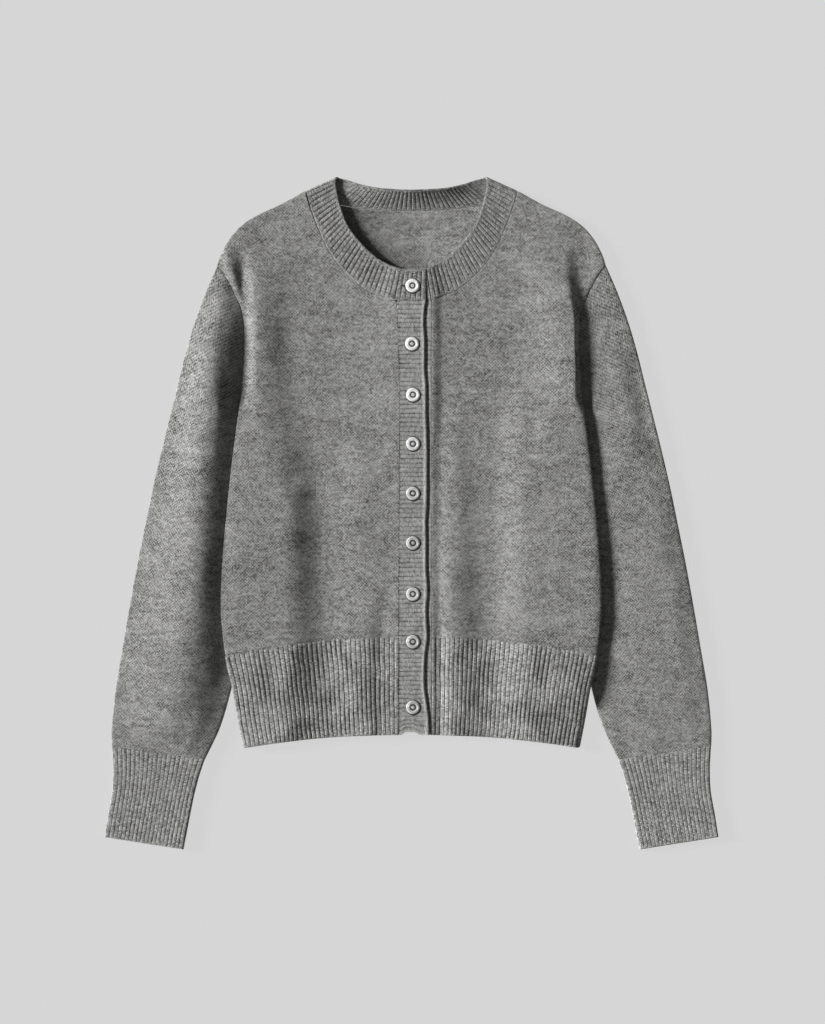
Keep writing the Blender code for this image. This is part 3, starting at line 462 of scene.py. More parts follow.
def knitMaterial(name, look):
    # Wool knit: stitches and their slant from the map of stitches, shades of yarn from noise,
    # painted shade in the stitches' crevices and in the grooves between ribs, painted light
    # along a free edge, painted shade inside the neck, and a fine linked seam.
    material, nodes, links, shader = newMaterial(name, {
        "Roughness": 0.92, "Specular IOR Level": 0.25,
        "Sheen Weight": look["sheen"], "Sheen Roughness": 0.6,
    })

    def maths(operation, a, b=None, c=None):
        made = nodes.new("ShaderNodeMath")
        made.operation = operation
        for socket, value in zip(made.inputs, (a, b, c)):
            if isinstance(value, (int, float)):
                socket.default_value = value
            elif value is not None:
                links.new(value, socket)
        return made.outputs[0]

    def noise(vector, scale, detail=2.0, stretch=(1, 1, 1), shift=(0, 0, 0), roughness=0.6):
        mapping = filled(
            nodes.new("ShaderNodeMapping"), {"Scale": stretch, "Location": shift})
        links.new(vector, mapping.inputs["Vector"])
        made = filled(nodes.new("ShaderNodeTexNoise"),
                      {"Scale": scale, "Detail": detail, "Roughness": roughness})
        links.new(mapping.outputs[0], made.inputs["Vector"])
        return made.outputs["Fac"]

    def between(value, low, high):
        # 0 up to low, 1 from high, soft in between
        made = filled(nodes.new("ShaderNodeMapRange"), {"From Min": low, "From Max": high})
        made.interpolation_type = "SMOOTHSTEP"
        links.new(value, made.inputs["Value"])
        return made.outputs[0]

    def split(mapName):
        uvMap = nodes.new("ShaderNodeUVMap")
        uvMap.uv_map = mapName
        parts = nodes.new("ShaderNodeSeparateXYZ")
        links.new(uvMap.outputs["UV"], parts.inputs[0])
        return uvMap.outputs["UV"], parts.outputs[0], parts.outputs[1]

    def around(value, size):
        # size times a number that varies around 0
        return maths("MULTIPLY_ADD", value, size, -size / 2)

    place = nodes.new("ShaderNodeTexCoord").outputs["Object"]
    stitches, across, along = split("stitches")
    fromFree, fromSeam = split("edges")[1:]
    wales = maths("MULTIPLY", across, look["walesPerUnit"])
    wander = maths("ADD", around(noise(place, 42), look["wander"]), around(noise(place, 230), 0.4))
    wales = maths("ADD", wales, wander)
    courses = maths("ADD", along, around(noise(place, 60, 2.0, shift=(3, 1, 7)), look["wander"]))

    # slanting lines of light and dark stitches, in patches
    tone = 1.0
    for turn, shift in ((1, (0.4, 0.2, 0.1)), (-1, (5.1, 2.3, 4.4))):
        slanting = maths("MULTIPLY_ADD", courses, turn, wales)
        line = maths("COSINE", maths("MULTIPLY", slanting, 0.82 * math.pi))
        patch = between(noise(place, look["patch"], 2.0, shift=shift), 0.30, 0.58)
        part = maths("MULTIPLY", maths("MULTIPLY", line, patch), look["slant"])
        tone = maths("ADD", part, tone)

    cell = nodes.new("ShaderNodeTexWhiteNoise")
    cell.noise_dimensions = "2D"
    corner = nodes.new("ShaderNodeCombineXYZ")
    links.new(maths("FLOOR", wales), corner.inputs[0])
    links.new(maths("FLOOR", courses), corner.inputs[1])
    links.new(corner.outputs[0], cell.inputs["Vector"])
    tone = maths("ADD", around(cell.outputs["Value"], look["stitch"]), tone)

    inWale = maths("ABSOLUTE", maths("SUBTRACT", maths("FRACT", wales), 0.5))
    slope = maths("MULTIPLY_ADD", inWale, 1.1, courses)
    legs = maths("SINE", maths("MULTIPLY", slope, 2 * math.pi))
    spine = maths("COSINE", maths("MULTIPLY", inWale, 4 * math.pi))
    height = maths("MULTIPLY_ADD", legs, 0.5, maths("MULTIPLY", spine, -0.35))
    # painted shade: the low parts of each stitch are darker
    tone = maths("MULTIPLY_ADD", height, look["creviceShade"], tone)

    for size, scale, detail, stretch in look["shades"]:
        cloud = noise(place, scale, detail, stretch, roughness=0.75)
        tone = maths("ADD", around(cloud, size), tone)

    # painted shade in the grooves between ribs, which the bump also sinks
    if look["gap"]:
        inRib = maths("ABSOLUTE", maths("SUBTRACT", maths("FRACT", across), 0.5))
        uneven = noise(stitches, 1.0, 2.0, (0.9, 0.10, 1))
        gap = maths("MULTIPLY", between(inRib, *look["gapPlace"]), between(uneven, 0.25, 0.72))
        gap = maths("MULTIPLY", gap, between(fromFree, 1.0, 3.5))
        gap = maths("MULTIPLY", gap, between(fromSeam, *look["gapStart"]))
        tone = maths("MULTIPLY_ADD", gap, -look["gap"], tone)
        height = maths("MULTIPLY_ADD", gap, -0.6, height)

    # painted light along the free edge, a highlight on the front bands and shade on the
    # neckband, and the chain of loops beside a linked seam
    tone = maths("MULTIPLY_ADD", between(fromFree, look["rim"], 0.5), look["paintedEdgeLight"], tone)
    chain = maths("MULTIPLY", between(fromSeam, 0.4, 0.9), between(fromSeam, 1.9, 1.4))
    loops = maths("MULTIPLY_ADD", maths("SINE", maths("MULTIPLY", across, 6 * math.pi)), 0.4, 0.8)
    tone = maths("MULTIPLY_ADD", maths("MULTIPLY", chain, loops), look["chain"], tone)
    seam = maths("MULTIPLY", between(fromSeam, 0.7, 0.2), loops)
    tone = maths("MULTIPLY_ADD", seam, look["seamLine"], tone)

    if look["paintedNeckShade"]:
        # painted shade inside the neck, deepest under the edge of the neckband
        shade = maths("MULTIPLY_ADD", between(fromFree, 56.0, -4.0), -look["paintedNeckShade"], 1.0)
        tone = maths("MULTIPLY", tone, shade)

    colour = nodes.new("ShaderNodeVectorMath")
    colour.operation = "SCALE"
    colour.inputs[0].default_value = look["colour"]
    links.new(maths("MAXIMUM", tone, 0.12), colour.inputs["Scale"])
    tint = nodes.new("ShaderNodeVectorMath")
    tint.operation = "MULTIPLY_ADD"
    warm = nodes.new("ShaderNodeCombineXYZ")
    shade = noise(place, 25, 2.0, shift=(7, 7, 2))
    for socket, size in zip(warm.inputs, (0.012, 0.0, -0.05)):
        links.new(maths("MULTIPLY_ADD", shade, size, 1 - size / 2), socket)
    links.new(colour.outputs[0], tint.inputs[0])
    links.new(warm.outputs[0], tint.inputs[1])
    links.new(tint.outputs[0], shader.inputs["Base Color"])

    bump = filled(nodes.new("ShaderNodeBump"), {"Strength": look["relief"], "Distance": 0.0004})
    links.new(maths("MULTIPLY_ADD", noise(place, 900), 0.9, height), bump.inputs["Height"])
    links.new(bump.outputs[0], shader.inputs["Normal"])
    return material


# Each row of shades: how strong, how many to a metre, finer steps, stretch of the pattern.
jerseyLook = {
    "colour": (0.300, 0.299, 0.289), "sheen": 0.15, "walesPerUnit": 1.0, "wander": 1.5,
    "patch": 110, "slant": 0.31, "stitch": 0.95, "creviceShade": 0.10, "relief": 0.8,
    "shades": [
        (1.25, 38, 3.0, (0.6, 1.5, 1)), (1.45, 150, 3.0, (0.7, 1.4, 1)),
        (0.8, 330, 2.0, (1, 1, 1)), (0.12, 9, 2.0, (1, 1, 1)),
    ],
    "gap": 0.0, "gapPlace": (0.4, 0.5), "gapStart": (1.2, 2.4),
    "paintedEdgeLight": 0.0, "rim": 2.6, "chain": 0.0, "seamLine": 0.0, "paintedNeckShade": 0.0,
}
# the back carries the painted shade inside the neck
backLook = {**jerseyLook, "paintedNeckShade": 0.46}
sleeveLook = {**jerseyLook, "slant": 0.28, "stitch": 0.85}
hemLook = {
    **jerseyLook, "colour": (0.356, 0.355, 0.345), "walesPerUnit": 2.0, "wander": 0.6,
    "slant": 0.10, "stitch": 0.9, "gap": 0.95, "gapPlace": (0.40, 0.465), "gapStart": (-0.2, 0.5),
    "shades": [
        (0.40, 38, 3.0, (0.8, 1.2, 1)), (0.55, 170, 3.0, (1.2, 0.8, 1)),
        (0.6, 330, 2.0, (1, 1, 1)),
    ],
}
# the neckband's free edge is painted darker, as shade
neckLook = {
    **hemLook, "colour": (0.300, 0.299, 0.291), "gap": 0.60, "gapStart": (1.2, 2.4),
    "paintedEdgeLight": -0.30, "rim": 1.3, "chain": 0.32, "seamLine": -0.12,
}
# the front bands' free edge is painted lighter, as a highlight
bandLook = {
    **hemLook, "colour": (0.370, 0.369, 0.359), "slant": 0.05, "stitch": 0.55,
    "gap": 0.65, "gapPlace": (0.34, 0.46), "paintedEdgeLight": 0.45, "rim": 3.0, "seamLine": -0.2,
}
jerseyKnit, sleeveKnit, backKnit, hemKnit, neckKnit, bandKnit = (
    knitMaterial(name, look) for name, look in (
        ("jerseyKnit", jerseyLook), ("sleeveKnit", sleeveLook), ("backKnit", backLook),
        ("hemRibKnit", hemLook), ("neckRibKnit", neckLook), ("frontBandKnit", bandLook),
    )
)


def patch(leftEdge, rightEdge, bottomEdge, topEdge, shares, up):
    # points between four edges; shares are places across, one row of them for each up
    v = up[:, None, None]
    u = shares[..., None]
    starts, ends = leftEdge[:, None], rightEdge[:, None]
    bottom, top = bottomEdge(shares), topEdge(shares)
    corner = [bottomEdge(np.array([k]))[0] for k in (0.0, 1.0)]
    corner += [topEdge(np.array([k]))[0] for k in (0.0, 1.0)]
    flat = (
        (1 - u) * (1 - v) * corner[0] + u * (1 - v) * corner[1]
        + (1 - u) * v * corner[2] + u * v * corner[3]
    )
    return (1 - u) * starts + u * ends + (1 - v) * bottom + v * top - flat


panelRows = np.array([  # inner place, outer y; from 13 the inner place counts along the neck
    (-126.15, -144.9), (-112, -112), (-85, -85), (-50, -50), (-20, -20), (13, 13),
    (40, 40), (60, 60), (80, 80), (98, 98), (122, 122), (154, 141), (187, 161), (217, 180),
    (227, 192), (237, 203), (255, 213.5), (275, 223), (292, 232.5), (308, 241), (320, 248),
    (328.4, 252.4),
])  # fmt: skip


panels = {  # sizes for the spacing of points, and the soft turn along the shoulder
    "height": 440.0, "frontWidth": 170, "backWidth": 190, "backReach": 185,
    "frontStep": 2.3, "backStep": 4.5, "shoulderTurn": 3.5,
    "armholeSeam": (195, 18),  # seen from this height up, fading in over this length
    "armholeRidge": {right: (0.22, 0.35), left: (0.0, 0.7)},  # raised beside it, sunk in it
}


def panelUp(step):
    # places up a panel, close together by both ends
    up = columnsBetween(0, panels["height"], step) / panels["height"]
    row = up * (len(panelRows) - 1)
    return up, row, np.interp(row, np.arange(len(panelRows)), panelRows[:, 1])


def neckPlace(y):
    # the point of the front neck seam at this height
    shares = np.linspace(0, 1, 400)
    points = beside(neckLine, shares, cloth["joint"] / 2)
    share = np.interp(y, points[:, 1], shares)
    return beside(neckLine, share, cloth["joint"] / 2)


def frontPanel(name, side, node):
    gap = cloth["joint"]
    up, row, outerY = panelUp(panels["frontStep"])
    innerY = np.interp(row, np.arange(len(panelRows)), panelRows[:, 0])
    edgeX = gap + (-lapLine(innerY)[:, 1] if side == right else closure["buttonBand"][1])
    edgeX = np.broadcast_to(edgeX, innerY.shape)
    starts = np.stack([edgeX, innerY], -1)
    onNeck = neckPlace(innerY)
    above = innerY > onNeck[0, 1]
    starts[above] = onNeck[above]
    starts[:, 0] = np.maximum(starts[:, 0], np.where(innerY < 221, edgeX, 0))
    inset = gap / 2
    ends = np.stack([sideLine(outerY)[:, 1] - inset, outerY], -1)

    def bottomEdge(share):
        x = starts[0, 0] + (ends[0, 0] - starts[0, 0]) * share
        return np.stack([x, hemY(body["hemTop"], x) + inset], -1)

    def topEdge(share):
        return beside(shoulderLine, share, inset)

    starts[0, 1] = bottomEdge(np.array([0.0]))[0, 1]
    ends[0, 1] = bottomEdge(np.array([1.0]))[0, 1]
    widths = np.linalg.norm(ends - starts, axis=1)
    offsets = columnsBetween(0, panels["frontWidth"], panels["frontStep"])
    closeIn = 6  # columns close together by each edge keep their distances from it
    shares = np.empty((len(up), len(offsets)))
    for r, width in enumerate(widths):
        inner = offsets[:closeIn] / width
        outer = 1 - (panels["frontWidth"] - offsets[-closeIn:]) / width
        middle = np.linspace(inner[-1], outer[0], len(offsets) - 2 * closeIn + 2)[1:-1]
        shares[r] = np.concatenate([inner, middle, outer])
    plan = patch(starts, ends, bottomEdge, topEdge, shares, up)
    x, y = plan[..., 0], plan[..., 1]
    fromInner = shares * widths[:, None]
    fromOuter = (1 - shares) * widths[:, None]
    fromTop = np.linalg.norm(plan - plan[-1:], axis=-1)
    fromBottom = np.linalg.norm(plan - plan[:1], axis=-1)
    turn = turnShare(fromOuter, curlAt(side, y), 0.5 + 0.35 * atArmhole(y))
    share = turn * turnShare(fromTop, panels["shoulderTurn"])
    low, high = frontWalls(side * x, y, cloth["wall"], share)
    edge = np.minimum(np.minimum(fromInner, fromOuter), np.minimum(fromTop, fromBottom))
    start, length = panels["armholeSeam"]
    raised, sunk = panels["armholeRidge"][side]
    seen = smooth((y - start) / length)
    seamRidge = raised * ridge(fromOuter - 1.5, 1.3) - sunk * ridge(fromOuter, 0.9)
    high = high + seamRidge * seen - rimDrop(edge, cloth["seamRim"])
    low = np.minimum(low + rimDrop(edge, cloth["seamRim"]) * 0.5, high - 0.2)
    outer, inner = layered(side * x, y, low, high)
    return clothPiece(name, outer, inner, stitchCount(side * x, y), node, jerseyKnit, "jersey")


def bothHalves(halves):
    # one piece from its right and left half, which share the centre line
    return np.concatenate([halves[0][:, :0:-1], halves[1]], 1)


def backPanel():
    gap = cloth["seamGap"]
    up, row, outerY = panelUp(panels["backStep"])
    bottomY, topY = panelRows[0, 0], body["backNeckSeam"][0][1]
    innerY = bottomY + (topY - bottomY) * np.interp(row, (0, 13, len(panelRows) - 1), (0, 0.79, 1))
    inset = gap / 2 + 0.05
    starts = np.stack([0 * innerY, innerY], -1)
    ends = np.stack([sideLine(outerY)[:, 1] - inset, outerY], -1)
    topPath = np.concatenate([
        beside(backNeckLine, np.linspace(0, 0.97, 14), gap / 2),
        beside(shoulderLine, np.linspace(0.03, 1, 16), inset),
    ])
    topLine = curve(topPath)

    def bottomEdge(share):
        x = ends[0, 0] * share
        return np.stack([x, hemY(body["hemTop"], x) + gap / 2], -1)

    def topEdge(share):
        return topLine(share)[..., :2]

    starts[0, 1] = bottomEdge(np.array([0.0]))[0, 1]
    ends[0, 1] = bottomEdge(np.array([1.0]))[0, 1]
    starts[-1] = topPath[0]
    nearSide = 1 - np.array([5, 2.6, 1.2, 0.5, 0]) / panels["backWidth"]
    across = np.concatenate([np.linspace(0, 0.955, 40), nearSide])
    shares = np.broadcast_to(across, (len(up), len(across)))
    halves = []
    for side in (right, left):
        plan = patch(starts, ends, bottomEdge, topEdge, shares, up)
        x, y = plan[..., 0], plan[..., 1]
        fromOuter = (1 - shares) * panels["backReach"]
        fromTop = np.linalg.norm(plan - plan[-1:], axis=-1)
        fromBottom = np.linalg.norm(plan - plan[:1], axis=-1)
        edge = np.minimum(fromOuter, np.minimum(fromTop, fromBottom))
        low = backUnder(side * x, y)
        high = low + cloth["wall"] - rimDrop(edge, cloth["wall"])
        low = low + rimDrop(edge, cloth["wall"]) * 0.7
        halves.append(np.stack([side * x, y, low, high], -1))
    whole = bothHalves(halves)
    outer, inner = layered(*np.moveaxis(whole, -1, 0))
    x, y = whole[..., 0], whole[..., 1]
    # distance to the front neck's edge, which places the painted shade inside the neck; it grows
    # faster on the +x side, so the shade lies mostly on the -x side
    edgeLine = curve(neck["edge"])(np.linspace(0, 1, 60))
    toEdge = np.hypot(x[..., None] + edgeLine[:, 0], y[..., None] - edgeLine[:, 1]).min(-1)
    toEdge = toEdge + np.maximum(x + 20, 0) * 0.6
    return clothPiece("backKnit", outer, inner, stitchCount(x, y), "back", backKnit, "jersey",
                      edges=(toEdge, cloth["far"]))


hems = {
    "ribs": 36,
    "corner": 3.5,
    "depth": 100.0,
    "rowSpan": 101.0,  # over which the rows are spaced
}


def hemGrid(start, inset, phases, up):
    corner = hemY(body["hemBottom"], body["hemBottom"][2])
    side = sideLine(corner + up * hems["depth"])[:, 1] - inset
    share = phases / phases[-1]
    x = start + (side[:, None] - start) * share[None, :]
    low, high = hemY(body["hemBottom"], x), hemY(body["hemTop"], x) - cloth["joint"] / 2
    corner = np.clip(1 - (side[:, None] - x) / hems["corner"], 0, 1)
    low = low + hems["corner"] * (1 - np.sqrt(1 - corner**2))
    y = low + (high - low) * up[:, None]
    return x, y, side[:, None] - x, (y - low), (high - y)


def hemRows(step, closeIn):
    return columnsBetween(0, hems["rowSpan"], step, closeIn) / hems["rowSpan"]


def ribTaper(fromSeam):
    return smooth((fromSeam + 0.2) / 1.6)


def frontHem(name, side, node):
    gap = cloth["joint"]
    start = gap - lapLine(-200.0)[1] if side == right else closure["buttonBand"][1] + gap
    phases = ribColumns(hems["ribs"])
    rows = hemRows(4.0, (0.0, 0.2, 0.6, 1.2, 2.4, 4.2))
    x, y, fromOuter, fromBottom, fromTop = hemGrid(start, gap, phases, rows)
    share = turnShare(fromOuter, curlAt(side, y))
    low, high = frontWalls(side * x, y, cloth["wall"], share)
    profile = ribHeight(phases[None, :] + 0.07 * unevenness(x, y, 14, 7))
    rib = profile * smooth((fromBottom - 0.6) / 1.8)
    inGap = (1 - profile) * ribTaper(fromTop) * smooth(fromBottom / 2.5)
    depth = cloth["ribRise"] * (0.85 + 0.45 * unevenness(np.round(phases) * 7.3 + 0 * x, y, 16, 8))
    round = np.maximum(rimDrop(np.minimum(fromBottom, fromOuter), cloth["ribWall"]),
                       rimDrop(np.minimum(fromTop, x - start), cloth["seamRim"]))
    high = high + 0.25 * rib * smooth(fromTop / 5) - depth * inGap * smooth(fromOuter / 4) - round
    low = np.minimum(low + round * 0.8, high - 0.2)
    outer, inner = layered(side * x, y, low, high)
    uv = np.stack([np.broadcast_to(side * phases[None, :], x.shape), y / cloth["course"]], -1)
    return clothPiece(name, outer, inner, uv, node, hemKnit, "rib", edges=(fromBottom, fromTop))


def backHem():
    halves = []
    within = np.array([0, 0.12, 0.3, 0.7, 0.88])
    phases = np.append((np.arange(hems["ribs"])[:, None] + within).reshape(-1), hems["ribs"])
    rows = hemRows(7.0, (0.0, 0.3, 0.9, 2.0, 4.0))
    for side in (right, left):
        x, y, fromOuter, fromBottom, fromTop = hemGrid(0.0, cloth["seamGap"], phases, rows)
        rib = ribHeight(phases[None, :]) * ribTaper(fromTop)
        edge = np.minimum(np.minimum(fromBottom, fromTop), fromOuter)
        round = rimDrop(edge, cloth["ribWall"])
        low = backUnder(side * x, y)
        high = low + cloth["ribWall"] - round - 0.4 * (1 - rib)
        low = low + round * 0.8 + 0.5 * (1 - rib)
        notch = bandBottom(side * x, 1.5) - body["hemBottom"][0]
        y = y + notch * (1 - smooth(fromBottom / 20))
        counted = np.broadcast_to(side * phases, x.shape)
        halves.append(np.stack([side * x, y, low, high, counted], -1))
    whole = bothHalves(halves)
    outer, inner = layered(*np.moveaxis(whole[..., :4], -1, 0))
    uv = np.stack([whole[..., 4], whole[..., 1] / cloth["course"]], -1)
    return clothPiece("backHemRib", outer, inner, uv, "hem_back", hemKnit, "rib")


arm = {
    "outer": [  # y, x
        (252.5, 198.8), (227.5, 209.6), (197, 220.8), (166, 230.0), (135.7, 237.5),
        (105, 245.2), (64.3, 255.3), (23.5, 264.7), (-17, 273.0), (-58, 281.2),
        (-99, 288.6), (-140, 295.6), (-180.5, 302.3), (-221, 306.2), (-240, 306.0),
    ],
    "inner": [
        (122, 174.5), (114, 175.2), (105, 176.4), (94, 175.8), (80, 171.4), (60, 162.6),
        (40, 153.8), (13, 147.0), (-20, 145.6), (-50, 150.4), (-89, 159.2), (-125, 168.2),
        (-150, 176.4), (-178, 183.4), (-200, 189.2), (-222, 196.6), (-251.5, 210.8),
    ],
    # outer y, inner y, bend to the armhole, then the fold along the sleeve: its crest's place
    # and height on the right and on the left one, and where it ends
    "rings": [
        (252.5, 122, 1.0, 0.10, 0.3, 0.38, 0.2, 0.95), (230, 114, 0.80, 0.19, 4.5, 0.34, 0.9, 0.95),
        (204, 105, 0.60, 0.26, 7.8, 0.32, 1.5, 0.95), (175, 94, 0.42, 0.325, 9.6, 0.31, 1.9, 0.95),
        (144, 79, 0.26, 0.375, 10.6, 0.31, 2.0, 0.92), (111, 61, 0.13, 0.40, 11.3, 0.30, 2.0, 0.84),
        (76, 39, 0.05, 0.405, 11.6, 0.27, 1.9, 0.77), (40, 11, 0, 0.41, 11.8, 0.23, 1.8, 0.73),
        (4, -20, 0, 0.415, 11.8, 0.18, 1.7, 0.72), (-32, -51, 0, 0.44, 11.8, 0.16, 1.6, 0.73),
        (-70, -88, 0, 0.485, 11.6, 0.16, 1.6, 0.78), (-106, -124, 0, 0.51, 11.3, 0.17, 1.6, 0.85),
        (-135, -151, 0, 0.54, 10.6, 0.19, 1.6, 0.90), (-163, -177, 0, 0.555, 9.5, 0.21, 1.5, 0.93),
        (-188, -200, 0, 0.555, 8.0, 0.23, 1.3, 0.95), (-213, -224, 0, 0.55, 5.5, 0.28, 0.9, 0.95),
        (-237.6, -251.4, 0, 0.55, 1.1, 0.35, 0.4, 0.95),
    ],
    "leftFlat": 0.13,  # the fold of the left sleeve ends this much sooner
    "crestSoft": {right: 7.5, left: 3.0},
    "fall": {right: 1.7, left: 2.6},
    "nip": 0.8,
    "noseDepth": 0.45,  # how far the rounding at the sleeve's edges reaches in, to its height
    "topColumns": 44,
    "underColumns": 24,
    "span": 500,  # the rings are spaced over this length
    "step": 3.0,
}
outerLine = curve(arm["outer"], keyed=True)
innerLine = curve(arm["inner"], keyed=True)


def noseAngles(count):
    return np.radians(np.linspace(-90, 90, count))


def foldShape(share, start, crest, flat, soft, power):
    # a fold across a sleeve: an even slope up to its crest, a quicker fall, rounded at the top
    total = 0
    for shift, weight in ((-1, 0.15), (-0.5, 0.22), (0, 0.26), (0.5, 0.22), (1, 0.15)):
        moved = share + shift * soft
        up = np.clip((moved - start) / (crest - start), 0, 1)
        up = 0.85 * smooth(up) + 0.15 * (1 - (1 - up) ** 2)
        down = np.clip((moved - crest) / (flat - crest), 0, 1)
        fall = 1 - down**power
        total = total + weight * np.where(moved < crest, up, fall)
    return total * np.clip((share - start) / 0.04, 0, 1)


def tubeSection(length, thickness, top, under, topHeight, underHeight, endGap, depths):
    # distances from the outer edge and heights, for the outer and the inner wall of one ring:
    # round the outer edge, over the top, round the inner edge and back below
    walls = []
    for wall in (0, 1):
        distance, height = [], []
        for end, shares, depth in ((0, top, depths[0]), (1, under, depths[1])):
            half = endGap / 2 + thickness
            radius = half - wall * thickness
            turn = 1 - 2 * end
            angles = noseAngles(9)
            distance.append(end * length + turn * (half - radius * np.cos(angles)) * depth)
            height.append(half + turn * radius * np.sin(angles))
            distance.append(length * shares)
            if end == 0:
                height.append(topHeight(shares) - wall * thickness)
            else:
                height.append(underHeight(shares) + wall * thickness)
        walls.append((np.concatenate(distance), np.concatenate(height)))
    return walls


def ringMap(around, travelled):
    return np.column_stack([around, np.full(len(around), -travelled / cloth["course"])])


def sleeve(name, side, node):
    gap, wall = cloth["joint"], cloth["wall"]
    rings = np.array(arm["rings"], float)
    ringLine = curve([(k, *row) for k, row in enumerate(rings)], keyed=True)
    places = columnsBetween(0, arm["span"], arm["step"]) / arm["span"] * (len(rings) - 1)
    table = ringLine(places)[:, 1:]
    tip = np.array([outerLine(rings[0, 0])[1], rings[0, 0]])
    underarm = np.array([innerLine(rings[0, 1])[1], rings[0, 1]])
    first = 3 if side == right else 5
    walls, uv = ([], []), []
    travelled = 0.0
    before = None
    for row in table:
        outer = np.array([outerLine(row[0])[1], row[0]])
        inner = np.array([innerLine(row[1])[1], row[1]])
        length = np.linalg.norm(inner - outer)
        depths = np.array([1.0, 1.0 - 0.85 * min(3 * row[2], 1)]) * arm["noseDepth"]
        nose, innerNose = depths * (arm["nip"] / 2 + wall) / length
        middle = 1 - nose - innerNose
        top = nose + middle * (np.arange(1, arm["topColumns"]) / arm["topColumns"])
        under = (1 - innerNose) - middle * (
            np.arange(1, arm["underColumns"]) / arm["underColumns"])
        crest, rise = row[first], max(row[first + 1], 0.0)
        flat = min(row[7] - (arm["leftFlat"] if side == left else 0), 1 - nose)

        def topHeight(share):
            shape = foldShape(share, nose, crest, flat, arm["crestSoft"][side] / length,
                              arm["fall"][side])
            along = travelled + 0 * share
            ripples = 0.55 * unevenness(share * 100 + 300 * side, along * 0.6, 21, 11) \
                + 0.22 * unevenness(share * 100 + 300 * side, along * 0.8, 9, 12)
            ends = smooth(share / 0.08) * smooth((1 - share) / 0.08) * smooth(along / 30)
            atSeam = 0.4 * min(3 * row[2], 1) * smooth((share - 0.92) / 0.08)
            if side == left:
                atSeam = 0.75 * min(6 * row[2] + 0.2, 1) * smooth((share - 0.70) / 0.12)
            return 2 * wall + arm["nip"] + rise * shape + ripples * ends - atSeam

        def underHeight(share):
            down = np.clip(np.abs(share - crest) / (flat - crest), 0, 1)
            return 0.5 * rise * (1 - smooth(down))

        section = tubeSection(length, wall, top, under, topHeight, underHeight, arm["nip"], depths)
        for k, (distance, height) in enumerate(section):
            share = distance / length
            bent = beside(armholeLine, np.clip(share, 0, 1), -gap / 2) \
                - (tip + (underarm - tip) * share[:, None])
            plan = outer + (inner - outer) * share[:, None] + bent * row[2]
            walls[k].append(np.column_stack([side * plan[:, 0], plan[:, 1], height]))
        middle = (outer + inner) / 2
        travelled += 0.0 if before is None else np.linalg.norm(middle - before)
        before = middle
        step = np.hypot(np.diff(section[0][0]), np.diff(section[0][1]))
        around = np.append(0, step.cumsum()) / cloth["wale"]
        uv.append(ringMap(side * around, travelled))
    return clothPiece(name, *map(np.array, walls), np.array(uv), node, sleeveKnit, "jersey",
                      wrap=True)


cuffs = {
    "rings": [  # outer corner and inner corner
        (305.8, -237.7, 211.0, -251.5), (304.6, -262, 216.8, -269),
        (305.6, -284, 222.2, -290), (309.6, -307, 227.0, -314),
        (313.4, -330.6, 232.6, -343.3),
    ],
    "ribs": 20,
    "length": 92,
    "nip": 1.2,
    "noseDepth": 0.45,
}


def cuff(name, side, node):
    wall, nip, whole = cloth["ribWall"], cuffs["nip"], cuffs["length"]
    line = curve([(k, *row) for k, row in enumerate(cuffs["rings"])], keyed=True)
    down = columnsBetween(0, whole, 4.0, (0.0, 0.2, 0.6, 1.2, 2.4, 4.2))
    places = down / whole * (len(cuffs["rings"]) - 1)
    walls, uv = ([], []), []
    phases = ribColumns(cuffs["ribs"])[1:-1]
    for travelled, row in zip(down, line(places)[:, 1:]):
        outer, inner = row[:2], row[2:]
        length = np.linalg.norm(inner - outer)
        nose = cuffs["noseDepth"] * (nip / 2 + wall) / length
        share = nose + (1 - 2 * nose) * phases / cuffs["ribs"]
        taper = ribTaper(travelled)
        rim = float(rimDrop(min(travelled, whole - travelled), wall))
        uneven = unevenness(np.round(phases) * 7.3 + 100 * side, travelled + 0 * phases, 16, 9)
        inGap = (1 - ribHeight(phases)) * smooth((whole - travelled) / 2.5)
        lift = 0.3 - cloth["ribRise"] * (0.85 + 0.45 * uneven) * inGap * taper
        section = tubeSection(
            length, wall, share, share[::-1], lambda _: 2 * wall + nip + lift - rim,
            lambda _: 0.6 * (1 - ribHeight(phases)) * taper + rim, nip,
            (cuffs["noseDepth"], cuffs["noseDepth"]))
        for w, (distance, height) in enumerate(section):
            plan = outer + (inner - outer) * (distance / length)[:, None]
            if w == 1:
                above = height > (2 * wall + nip) / 2
                height = np.where(above, np.minimum(height + rim, 2 * wall),
                                  np.maximum(height - rim, wall))
                height = np.clip(height, wall, wall + nip)
            walls[w].append(np.column_stack([side * plan[:, 0], plan[:, 1], height]))
        corner = np.linspace(-0.6, 0, 9)
        turned = cuffs["ribs"] + 0.6
        around = np.concatenate([corner, phases, turned + corner, turned + phases])
        uv.append(ringMap(side * around, travelled))
    down = down[:, None]
    return clothPiece(name, *map(np.array, walls), np.array(uv), node, hemKnit, "rib", wrap=True,
                      edges=(whole - down, down))


def unit(vectors):
    return vectors / np.linalg.norm(vectors, axis=-1, keepdims=True)


neck = {
    "edge": [
        (0, 248.8), (10, 249.2), (24, 254.0), (39.5, 264.2), (54.6, 279.5),
        (65.8, 295.8), (72.4, 314.2), (76.3, 331.5), (77.0, 342.7),
    ],
    "backEdge": [  # x, y, z
        (0, 329.0, 9.5), (18, 329.8, 9.1), (36, 331.6, 7.6), (53, 335.6, 4.6),
        (65, 339.7, 2.2), (77.0, 342.7, 1.0),
    ],
    "ribsFront": 34,
    "ribsBack": 21,
    "foldRadius": 1.6,
    "edgeRise": 1.2,
    "ribRise": 0.8,
    "bead": 0.45,
    "seamRidge": 0.35,
    "width": 33.0,
}


